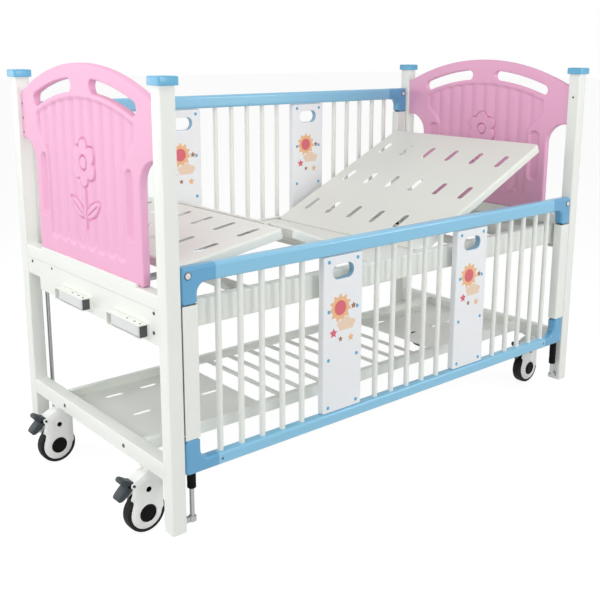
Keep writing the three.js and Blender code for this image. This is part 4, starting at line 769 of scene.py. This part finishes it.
# ---------------------------------------------------------------------------------------------
# Cranks: at the foot, two folding cranks of white channel with a moulded grip that folds into it.
# Each turns a rolled steel screw, which pushes a tube with a slotted yoke under the deck.
white_plastic = textured("white_plastic", shade(222, 225, 224), 0.01, 0.34, 900.0, 0.04, 0.08, 0.10)
steel = textured("bright_steel", shade(176, 178, 180), 0.05, 0.28, 1400.0, 0.05, 0.14, 0.0, 1.0)
for name, y in (("back", 0.134), ("knee", -0.201)):
    low, high = (np.array(c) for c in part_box(f"{name}_crank_arm"))
    mid_z = (low[2] + high[2]) / 2
    line = bent([(low[0], high[2]), (high[0], high[2]), (high[0], low[2]), (low[0], low[2])], 0.004)
    channel = folded(line, -0.0025, (1, 0, 0), (0, 0, 1), (0, low[1], 0), (0, high[1] - 0.0025, 0))
    stop = prism(rounded((high[0] - low[0]) / 2, (high[2] - low[2]) / 2, 0.004), (1, 0, 0), (0, 0, 1),
                 ((low[0] + high[0]) / 2, high[1] - 0.0025, mid_z), ((low[0] + high[0]) / 2, high[1], mid_z))
    pin = lathe([(0.004, low[2] + 0.001), (0.004, high[2] - 0.001)], (low[0] + 0.01325, low[1] + 0.0165, 0), (0, 0, 1), 14)
    place(f"{name}_crank_channel", gather(channel, stop, pin), f"{name}_crank", white_paint,
          (f"{name}_crank_arm",))
    # A dark zinc plate closes the channel's open end. It is painted shade for the dark inside of that end; the rivets
    # on top are real.
    shade_plate_at = ((low[0] + high[0]) / 2, low[1] + 0.001, mid_z)
    plate = prism(rounded((high[0] - low[0]) / 2 - 0.003, (high[2] - low[2]) / 2 - 0.003, 0.002), (1, 0, 0), (0, 0, 1),
                  shade_plate_at, np.add(shade_plate_at, (0, 0.0012, 0)))
    rivets = [lathe([(0.0034, high[2] - 0.001), (0.0034, high[2] + 0.0004), (0.0020, high[2] + 0.0010)],
                    (low[0] + 0.01325, spot, 0), (0, 0, 1), 12)
              for spot in low[1] + np.array([0.0165, 0.045, 0.085])]
    place(f"{name}_crank_rivets_and_shade_plate", gather(plate, *rivets), f"{name}_crank", zinc)

    low, high = (np.array(c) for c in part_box(f"{name}_crank_grip"))
    mid, half = (low + high) / 2, (high - low) / 2
    share = np.linspace(0, 1, 60)
    reach = np.clip(np.minimum(share, 1 - share) * 2 * half[1] / half[0], 0, 1)
    thin = np.sqrt(np.clip(1 - (1 - reach) ** 2, 0.03, 1))
    rings = [
        laid(rounded(half[0] * w, half[2], 0.35 * half[0] * w), (mid[0], spot, mid[2]), (1, 0, 0), (0, 0, 1))
        for spot, w in zip(low[1] + share * (high[1] - low[1]), thin)
    ]
    place(f"{name}_folding_grip", gather(loft(rings)), f"{name}_grip", white_plastic,
          (f"{name}_crank_grip",), 60)

    low, high = (np.array(c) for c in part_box(f"{name}_screw"))
    turn = np.linspace(0, 2 * math.pi, 16, endpoint=False)
    spots = np.linspace(low[0], high[0], 300)
    thread = (spots - low[0])[:, None] / 0.005 - turn[None] / (2 * math.pi)
    radius = 0.0062 + 0.0016 * np.abs((thread % 1.0) - 0.5)
    rings = np.stack([np.repeat(spots[:, None], 16, 1), y + radius * np.cos(turn),
                      (low[2] + high[2]) / 2 + radius * np.sin(turn)], -1)
    place(f"{name}_rolled_screw", gather(loft(rings)), f"{name}_crank", steel, (f"{name}_screw",))
    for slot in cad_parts[f"{name}_push_tube"].material_slots:
        slot.material = steel

# ---------------------------------------------------------------------------------------------
# Guide rods and bushes: each side runs on two bright steel rods that stand on feet at the posts,
# in black plastic bushes under its lower corners.
black_plastic = textured("black_plastic", shade(7, 7, 8), 0.10, 0.50, 900.0, 0.05, 0.10, gleam=0.1)
for corner in corners:
    low, high = (np.array(c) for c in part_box(f"guide_rod_{corner}"))
    inward = -1 if corner.startswith("head") else 1
    x = (high[0] if inward > 0 else low[0]) - inward * 0.012
    y = (low[1] + high[1]) / 2
    rod = lathe([(0.007, low[2]), (0.007, high[2] - 0.002), (0.005, high[2])], (x, y, 0), (0, 0, 1), 20)
    foot = lathe([(0.0105, low[2]), (0.012, low[2] + 0.0015), (0.012, low[2] + 0.0145), (0.0105, low[2] + 0.016)],
                 (x, y, 0), (0, 0, 1), 24)
    outer = low[0] if inward > 0 else high[0]
    lug = prism(rounded(abs(x - outer) / 2, 0.006, 0.001, 3), (1, 0, 0), (0, 1, 0),
                ((x + outer) / 2, y, low[2] + 0.0005), ((x + outer) / 2, y, low[2] + 0.0155))
    place(f"side_guide_rod_{corner}", gather(rod, foot, lug), "frame", steel, (f"guide_rod_{corner}",))
for side in ("near", "far"):
    for end in ("foot", "head"):
        low, high = (np.array(c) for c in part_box(f"bush_{side}_{end}"))
        mid, tall = (low + high) / 2, high[2] - low[2]
        profile = [(0.0078, low[2]), (0.0115, low[2]), (0.0130, low[2] + 0.0015), (0.0130, low[2] + 0.30 * tall),
                   (0.0122, low[2] + 0.32 * tall), (0.0122, low[2] + 0.38 * tall), (0.0130, low[2] + 0.40 * tall),
                   (0.0130, high[2]), (0.0078, high[2])]
        place(f"slide_bush_{side}_{end}", gather(lathe(profile, (mid[0], mid[1], 0), (0, 0, 1), 28)), f"{side}_side",
              black_plastic, (f"bush_{side}_{end}",))

# ---------------------------------------------------------------------------------------------
# Sliding sides: a ladder of round steel bars between two channel stiles, powder coated, inside
# blue moulded rails whose corners reach over the stiles and are held by covered bolts.
def blue_with_painted_leg_shade(name, colour, deep):
    """Blue moulding whose corner legs are painted a darker blue, as painted shade: the piece's own leg
    number says where they are, and a drift of broad noise keeps either colour from being flat."""
    finish = bpy.data.materials.new(name)
    finish.use_nodes = True
    work = Shader(finish.node_tree)
    where = work.add("ShaderNodeTexCoord", out=3)
    broad = work.add("ShaderNodeTexNoise", sockets={"Vector": where, "Scale": 2.6, "Detail": 3.0})
    fine = work.add("ShaderNodeTexNoise", sockets={"Vector": where, "Scale": 900.0, "Detail": 2.0})
    leg = work.add("ShaderNodeAttribute", {"attribute_name": "leg"}, out=2)
    share = (leg + 0.10 * (broad - 0.5)).at_least(0.0).at_most(1.0)
    tint = work.add("ShaderNodeMix", {"data_type": "RGBA"}, {0: share, 6: colour, 7: deep}, out=2)
    bump = work.add("ShaderNodeBump", sockets={"Strength": 0.04, "Distance": 0.0006, "Height": fine})
    body = work.add("ShaderNodeBsdfPrincipled", sockets={
        "Base Color": tint, "Roughness": 0.24 + 0.12 * broad, "Coat Weight": 0.25, "Normal": bump})
    work.add("ShaderNodeOutputMaterial", sockets={"Surface": body})
    return finish


def mark(piece, name, values):
    """Keeps one number for each point of a piece, for its finish to read."""
    piece.data.attributes.new(name, "FLOAT", "POINT").data.foreach_set("value", np.asarray(values, np.float32))


def bored(piece, drills):
    """Takes the volume of some round drills out of a piece, and makes what is left its mesh."""
    points, faces = drills
    mesh = bpy.data.meshes.new("drills")
    mesh.from_pydata(points.tolist(), [], [row for rows in faces for row in rows.tolist()])
    tool = bpy.data.objects.new("drills", mesh)
    scene.collection.objects.link(tool)
    cut = piece.modifiers.new("bores", "BOOLEAN")
    cut.object, cut.operation, cut.solver = tool, "DIFFERENCE", "EXACT"
    whole = piece.data
    piece.data = bpy.data.meshes.new_from_object(piece.evaluated_get(bpy.context.evaluated_depsgraph_get()))
    piece.modifiers.clear()
    piece.data.set_sharp_from_angle(angle=math.radians(38))
    bpy.data.objects.remove(tool)
    bpy.data.meshes.remove(mesh)
    bpy.data.meshes.remove(whole)
    piece.data.name = piece.name


def side_rail(x, z):
    """Outline of a rail in its own frame: a bar with its upper edge at nought and a leg down at
    each end, filleted where they meet and rounded at the outer corners."""
    bar = np.abs(z + bar_height / 2) - bar_height / 2
    leg = boxed(np.abs(x), z, rail_end - 0.025, -0.053, 0.025, 0.053)
    whole = boxed(x, z, 0, -0.053, rail_end, 0.053, 0.010)
    return both(either(bar, leg, 0.030), whole)


# The second colour is painted shade: a darker blue laid on the rails' corner legs.
rail_blue_with_painted_shade = blue_with_painted_leg_shade("side_rail_blue", shade(138, 200, 231), shade(98, 168, 210))
rail_end, bar_height = 0.9005, 0.048
for side, sign in (("near", -1), ("far", 1)):
    low, high = (np.array(c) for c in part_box(f"side_top_rail_{side}"))
    face = low[1] if sign < 0 else high[1]
    deep = high[1] - low[1]
    rods = [np.array(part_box(f"bush_{side}_{end}")).mean(0) for end in ("foot", "head")]
    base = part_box(f"side_bottom_rail_{side}")[0][2]
    drills = gather(*(lathe([(0.008, base - 0.001), (0.008, high[2] - 0.036)], (rod[0], rod[1], 0), (0, 0, 1), 28)
                      for rod in rods))
    for name, edge_z, turn, height in ((f"side_top_rail_{side}", high[2], 1, 0.048),
                                       (f"side_bottom_rail_{side}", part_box(f"side_bottom_rail_{side}")[0][2], -1, 0.038)):
        bar_height = height
        ends = np.linspace(rail_end, 0.790, 36)
        us = np.concatenate([-ends, np.linspace(-0.790, 0.790, 120)[1:-1], ends[::-1]])
        vs = np.linspace(-0.106, 0.0, 48)
        rail = moulding(us, vs, lambda x, z: side_rail(x, z) + 0.009, round_edge(deep, 0.009, 5), thick=deep)
        rail = set_in_room(rail, (centre_x, face, edge_z), (1, 0, 0), (0, 0, turn), (0, -sign, 0))
        piece = place(f"blue_{name}", gather(rail), f"{side}_side", rail_blue_with_painted_shade, (name,))
        bored(piece, drills)
        spots = np.empty(3 * len(piece.data.vertices))
        piece.data.vertices.foreach_get("co", spots)
        # The leg number marks the corner legs that get the painted shade.
        mark(piece, "leg", soft(np.abs(spots[::3] - centre_x) - 0.7915, 0.002))

    low, high = (np.array(c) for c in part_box(f"side_bars_{side}"))
    mid_y = (low[1] + high[1]) / 2
    parts = []
    for end in (-1, 1):
        line = bent([(0.9005, -0.018), (0.8505, -0.018), (0.8505, 0.018), (0.9005, 0.018)], 0.004)
        parts.append(folded(line, -0.0025, (end, 0, 0), (0, 1, 0), (centre_x, mid_y, base + 0.1063),
                            (centre_x, mid_y, base + 0.4897)))
    starts = np.array([-0.8505, -0.2288, 0.3928])
    for x in (starts[:, None] + 0.07628 * np.arange(1, 6)).ravel():
        parts.append(lathe([(0.009, base + 0.0365), (0.009, base + 0.5495)], (centre_x + x, mid_y, 0), (0, 0, 1), 20))
    place(f"side_ladder_{side}", gather(*parts), f"{side}_side", white_paint, (f"side_bars_{side}",))

    covers, heads = [], []
    for end in (-1, 1):
        for out in (-1, 1):
            skin = mid_y + out * 0.018
            spot = (centre_x + end * 0.8815, skin, base + 0.572)
            covers.append(lathe([(0.0085, -0.001), (0.0085, 0.0018), (0.0075, 0.0026), (0.005, 0.0031),
                                 (0.001, 0.0033)], spot, (0, out, 0), 24))
            heads.append(lathe([(0.0115, -0.001), (0.0115, 0.0008), (0.0105, 0.0014), (0.0082, 0.0015)], spot, (0, out, 0), 24))
            heads.append(screw_head((centre_x + end * 0.779, skin, base + 0.019), (0, out, 0), 0.0035, 0.0014))
    for n, (points, faces) in enumerate(covers):
        limit = np.clip(points[:, 1], -0.471, 0.471)
        covers[n] = (np.stack([points[:, 0], limit, points[:, 2]], 1), faces)
    place(f"corner_bolt_covers_{side}", gather(*covers), f"{side}_side", white_plastic)
    place(f"rail_screws_{side}", gather(*heads), f"{side}_side", zinc)

# ---------------------------------------------------------------------------------------------
# Side panels: two white plastic boards in each side, whose hand-hole walls are coloured grey-blue.
# Blue dots cover their fixings and a print of a sun, cloud and stars is on both faces.
def board_with_grey_blue_hole_wall(name, skin, hole_wall):
    """White board whose hand-hole wall is coloured grey-blue: the piece's own number for that wall mixes the colours.
    """
    finish = bpy.data.materials.new(name)
    finish.use_nodes = True
    work = Shader(finish.node_tree)
    where = work.add("ShaderNodeTexCoord", out=3)
    fine = work.add("ShaderNodeTexNoise", sockets={"Vector": where, "Scale": 800.0, "Detail": 2.0})
    broad = work.add("ShaderNodeTexNoise", sockets={"Vector": where, "Scale": 4.0, "Detail": 3.0})
    inner = work.add("ShaderNodeAttribute", {"attribute_name": "hole_wall"}, out=2)
    share = (inner + 0.03 * broad).at_most(1.0)
    tint = work.add("ShaderNodeMix", {"data_type": "RGBA"}, {0: share, 6: skin, 7: hole_wall}, out=2)
    bump = work.add("ShaderNodeBump", sockets={"Strength": 0.06, "Distance": 0.0006, "Height": fine})
    body = work.add("ShaderNodeBsdfPrincipled", sockets={
        "Base Color": tint, "Roughness": 0.36 + 0.08 * broad, "Normal": bump})
    work.add("ShaderNodeOutputMaterial", sockets={"Surface": body})
    return finish


def inlay(outline, x, z, skin, out):
    """A print: a flat patch a quarter of a millimetre proud of the board, from its outline."""
    flat = outline + [x, z]
    rings = [np.stack([flat[:, 0], np.full(len(flat), skin + out * lift), flat[:, 1]], 1)
             for lift in (-0.0003, 0.00025)]
    return loft(rings)


def star(radius, points_of=5):
    """A star: its radius swings in straight lines between tip and valley as the angle turns."""
    turn = np.linspace(0, 2 * math.pi, 2 * points_of, endpoint=False)
    size = np.where(np.arange(2 * points_of) % 2 == 0, radius, 0.5 * radius)
    return np.stack([size * np.sin(turn), size * np.cos(turn)], 1)


def rayed(radius, rays, depth):
    """A sun: a circle whose radius swells in rounded rays, by a power of the cosine."""
    turn = np.linspace(0, 2 * math.pi, 160, endpoint=False)
    size = radius * (1 + depth * np.cos(rays * turn / 2) ** 4)
    return np.stack([size * np.sin(turn), size * np.cos(turn)], 1)


def cloud(wide):
    """A cloud: an ellipse whose edge bulges in five arcs, flattened along its foot."""
    turn = np.linspace(0, 2 * math.pi, 120, endpoint=False)
    size = wide * (0.80 + 0.20 * np.abs(np.cos(2.5 * turn)))
    flat = np.stack([size * np.sin(turn), 0.62 * size * np.cos(turn)], 1)
    return np.stack([flat[:, 0], np.maximum(flat[:, 1], -0.40 * wide)], 1)


board = board_with_grey_blue_hole_wall("white_board", shade(244, 246, 248), shade(148, 190, 214))
inks = {
    "peach": textured("peach_ink", shade(242, 190, 140), 0.03, 0.38, 700.0, 0.05),
    "rose": textured("rose_ink", shade(222, 104, 118), 0.03, 0.38, 700.0, 0.05),
    "sand": textured("sand_ink", shade(240, 214, 188), 0.03, 0.38, 700.0, 0.05),
    "brown": textured("brown_ink", shade(166, 112, 78), 0.03, 0.38, 700.0, 0.05),
}
for side in ("near", "far"):
    prints = {ink: [] for ink in inks}
    dots = []
    for end in ("foot", "head"):
        low, high = (np.array(c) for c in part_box(f"side_panel_{side}_{end}"))
        mid, half = (low + high) / 2, (high - low) / 2
        hole_z = high[2] - 0.0517
        hole = lambda x, z: boxed(x, z, mid[0], hole_z, 0.045, 0.024, 0.024)
        plate = moulding(
            np.linspace(low[0], high[0], 56), np.linspace(low[2], high[2], 170),
            lambda x, z: np.maximum(boxed(x, z, mid[0], mid[2], half[0], half[2], 0.004) + 0.002, 0.002 - hole(x, z)),
            round_edge(2 * half[1], 0.002, 3), thick=2 * half[1],
        )
        points = plate[0]
        # Points on the hand hole's wall take the grey-blue colour.
        hole_wall = (hole(points[:, 0], points[:, 1]) < 0.0012) & (points[:, 2] > 0.0015) & (points[:, 2] < 2 * half[1] - 0.0015)
        plate = set_in_room(plate, (0, low[1], 0), (1, 0, 0), (0, 0, 1), (0, 1, 0))
        piece = place(f"white_panel_{side}_{end}", gather(plate), f"{side}_side", board,
                      (f"side_panel_{side}_{end}",))
        mark(piece, "hole_wall", hole_wall)
        for out, skin in ((-1, low[1]), (1, high[1])):
            top = high[2]
            for x in (-0.060, 0.060):
                for drop in (0.017, 0.174, 0.331, 0.488):
                    dots.append(lathe([(0.0060, -0.0004), (0.0060, 0.0008), (0.0050, 0.0016), (0.001, 0.0018)],
                                      (mid[0] + x, skin, top - drop), (0, out, 0), 18))
            prints["peach"].append(inlay(rayed(0.036, 11, 0.30), mid[0] - 0.012, top - 0.168, skin, out))
            prints["rose"].append(inlay(rayed(0.024, 11, 0.0), mid[0] - 0.012, top - 0.168, skin + out * 0.0002, out))
            prints["sand"].append(inlay(cloud(0.040), mid[0] + 0.014, top - 0.226, skin + out * 0.0003, out))
            prints["rose"].append(inlay(star(0.017), mid[0] - 0.040, top - 0.246, skin, out))
            prints["brown"].append(inlay(star(0.012), mid[0] + 0.044, top - 0.170, skin, out))
            prints["peach"].append(inlay(star(0.014), mid[0] + 0.034, top - 0.272, skin, out))
            prints["brown"].append(inlay(star(0.010), mid[0] - 0.010, top - 0.270, skin, out))
    for ink, patches in prints.items():
        place(f"{ink}_print_{side}", gather(*patches), f"{side}_side", inks[ink])
    place(f"blue_dots_{side}", gather(*dots), f"{side}_side", blue_plastic)

# ---------------------------------------------------------------------------------------------
# Lower shelf: two folded rims along the bed, a slotted sheet at each end and flat slats between,
# all of steel sheet, powder coated, lying on the lower end rails.
low, high = (np.array(c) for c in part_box("lower_shelf"))
parts = []
for side in (-1, 1):
    line = bent([(0.256, 0.222), (0.256, 0.260), (0.234, 0.260)], 0.005)
    parts.append(folded(line, 0.0025, (0, side, 0), (0, 0, 1), (low[0], 0, 0), (high[0], 0, 0)))
    end_x = centre_x + side * 0.904

    def plate_holes(u, v):
        gap = np.full(np.broadcast(u, v).shape, 1.0)
        for column in (0.132, 0.264, 0.396):
            for row in (-0.186, 0.0, 0.186):
                gap = np.minimum(gap, boxed(u, v, column, row, 0.031, 0.008, 0.008))
        return gap

    plate = moulding(
        np.linspace(0, 0.476, 108), np.linspace(-0.255, 0.255, 118),
        lambda u, v: np.maximum(boxed(u, v, 0.238, 0, 0.238, 0.255, 0.002) + 0.001, 0.001 - plate_holes(u, v)),
        round_edge(0.0025, 0.001, 2), thick=0.0025,
    )
    parts.append(set_in_room(plate, (end_x, 0, 0.2245), (-side, 0, 0), (0, 1, 0), (0, 0, -1)))
for x in np.linspace(-0.428, 0.428, 10)[1:-1]:
    parts.append(prism(rounded(0.013, 0.00125, 0.0008, 3), (1, 0, 0), (0, 0, 1), (centre_x + x, -0.255, 0.22325),
                       (centre_x + x, 0.255, 0.22325)))
place("slatted_shelf", gather(*parts), "frame", white_paint, ("lower_shelf",))

# ---------------------------------------------------------------------------------------------
# Casters: a white twin-walled shell on a swivel stem over a black rubber tyre, whose black hub
# shows through the shell, and a grey brake pedal behind it.
rubber = textured("tyre_rubber", shade(14, 14, 15), 0.12, 0.60, 500.0, 0.16, 0.12, gleam=0.25)
grey_plastic = textured("pedal_plastic", shade(58, 66, 70), 0.06, 0.46, 800.0, 0.08, 0.08, gleam=0.3)
shell_plastic = textured("caster_shell_plastic", shade(251, 252, 249), 0.006, 0.30, 900.0, 0.03, 0.08)


def sloped(x, z, at_x, at_z, out_x, out_z):
    """Distance beyond a straight line through a point, along the unit direction out of the shape."""
    return (x - at_x) * out_x + (z - at_z) * out_z


def hood(x, z):
    """Side view of a caster's hood: a box whose front brow slopes down to the pedal."""
    brow = sloped(x, z, -0.010, 0.1905, -0.43, 0.903)
    return both(boxed(x, z, -0.0110, 0.1265, 0.0490, 0.0640, 0.007), brow, 0.010)


def shell_wall(x, z):
    """A caster's cheek: a disc about the axle and the hood, with a hook over the tyre and an ear
    for the pedal's pin."""
    disc = np.hypot(x + 0.018, z - 0.0645) - 0.0505
    ear = np.hypot(x + 0.058, z - 0.160) - 0.0085
    hook = both(sloped(x, z, -0.056, 0.150, -0.922, 0.387), sloped(x, z, -0.0695, 0.117, -0.62, -0.785), 0.003)
    hook = both(hook, both(x + 0.045, z - 0.155))
    return either(either(either(disc, hood(x, z), 0.006), ear, 0.004), hook, 0.002)


def cheek_depth(x, z):
    """How far a cheek's outer face falls away towards its outline: a parabola over the last 22 mm."""
    return 0.0062 * (1 - np.clip(-shell_wall(x, z) / 0.022, 0, 1)) ** 2


def cheek_edge(u, v, normal):
    """Section over a cheek's edge: half an ellipse from the outer face to the inner one."""
    turn = np.linspace(0, math.pi, 8)[:, None]
    start = cheek_depth(u, v)[None]
    return np.stack([0.0025 * np.sin(turn) + 0 * start, start + (cheek_thick - start) * (1 - np.cos(turn)) / 2], -1)


def eased(outline, times=3):
    """Corners cut again and again: each side keeps the points at a quarter and three quarters."""
    for _ in range(times):
        after = np.roll(outline, -1, 0)
        outline = np.stack([0.75 * outline + 0.25 * after, 0.25 * outline + 0.75 * after], 1).reshape(-1, 2)
    return outline


cheek_thick, hub_hole = 0.0075, 0.0268
for corner in corners:
    low, high = (np.array(c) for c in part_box(f"caster_wheel_{corner}"))
    axle = (low + high) / 2
    stem = np.array([axle[0] + 0.016, axle[1], 0.0])
    us, vs = np.linspace(-0.075, 0.045, 66), np.linspace(0.004, 0.196, 104)
    parts = []
    for side in (-1, 1):
        wall = moulding(
            us, vs,
            lambda x, z: np.maximum(shell_wall(x, z) + 0.0025,
                                    0.0025 + hub_hole - np.hypot(x + 0.016, z - 0.0625)),
            cheek_edge, cheek_depth, thick=cheek_thick,
        )
        parts.append(set_in_room(wall, stem + (0, side * 0.026, 0), (1, 0, 0), (0, 0, 1), (0, -side, 0)))
    crown = moulding(us, vs, lambda x, z: both(hood(x, z), 0.131 - z) + 0.0022, round_edge(0.039, 0.0022, 3),
                     thick=0.039)
    parts.append(set_in_room(crown, stem + (0, 0.0195, 0), (1, 0, 0), (0, 0, 1), (0, -1, 0)))
    parts.append(lathe([(0.011, 0.188), (0.011, 0.2017), (0.020, 0.2019), (0.022, 0.203), (0.022, 0.2057)], stem,
                       (0, 0, 1), 28))
    place(f"caster_housing_{corner}", gather(*parts), f"caster_{corner}", shell_plastic,
          (f"caster_shell_{corner}",), 50)
    dots = [lathe([(0.0093, -0.0012), (0.0093, 0.0), (0.0086, 0.0003), (0.001, 0.0003)],
                  stem + (-0.0125, side * 0.0257, 0.1375), (0, side, 0), 24) for side in (-1, 1)]
    place(f"housing_rivets_{corner}", gather(*dots), f"caster_{corner}", black_plastic)

    half_tyre = np.array([(0.028, 0.0155), (0.048, 0.0168), (0.0555, 0.0177), (0.0590, 0.0174), (0.0611, 0.0156),
                          (0.0621, 0.0120), (0.0624, 0.0062), (0.0614, 0.0058), (0.0614, 0.0046), (0.0625, 0.0042)])
    tyre = np.vstack([half_tyre, (half_tyre * [1, -1])[::-1]])
    place(f"rubber_tyre_{corner}", gather(lathe(tyre, axle, (0, 1, 0), 64)), f"wheel_{corner}", rubber,
          (f"caster_wheel_{corner}",))
    half_hub = np.array([(0.002, 0.0240), (0.006, 0.0240), (0.0075, 0.0247), (0.0105, 0.0248), (0.0125, 0.0236),
                         (0.0215, 0.0236), (0.0235, 0.0254), (0.0255, 0.0257), (0.0262, 0.0250), (0.0262, 0.0)])
    hub = np.vstack([half_hub, (half_hub[:-1] * [1, -1])[::-1]])
    place(f"wheel_hub_{corner}", gather(lathe(hub, axle, (0, 1, 0), 40)), f"wheel_{corner}", black_plastic)

    pivot = stem + (-0.058, 0, 0.160)
    lobes = [
        eased(np.array(points_of) * 0.001, 2)
        for points_of in (((7, 5), (8, -7), (-2, -14), (-32, -40), (-46, -40), (-51, -29), (-20, 1), (-6, 9)),
                          ((8, -6), (-12, -8), (-25, 4), (-38, 12), (-39, 23), (-29, 28), (-8, 14), (6, 8)))
    ]
    rings = [
        [np.stack([pivot[0] + lobe[:, 0] * s + lobe[:, 0].mean() * (1 - s), np.full(len(lobe), pivot[1] + y),
                   pivot[2] + lobe[:, 1] * s + lobe[:, 1].mean() * (1 - s)], 1)
         for y, s in ((-0.0176, 0.90), (-0.0168, 0.96), (-0.0150, 1.0), (0.0150, 1.0), (0.0168, 0.96), (0.0176, 0.90))]
        for lobe in lobes
    ]
    pin = lathe([(0.004, -0.0255), (0.004, 0.0255)], pivot, (0, 1, 0), 16)
    place(f"brake_lever_{corner}", gather(*(loft(ring) for ring in rings), pin), f"pedal_{corner}", grey_plastic,
          (f"brake_pedal_{corner}",))

size = {"cad": cad_box, "visual": [[float(c) for c in corner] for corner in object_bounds()]}
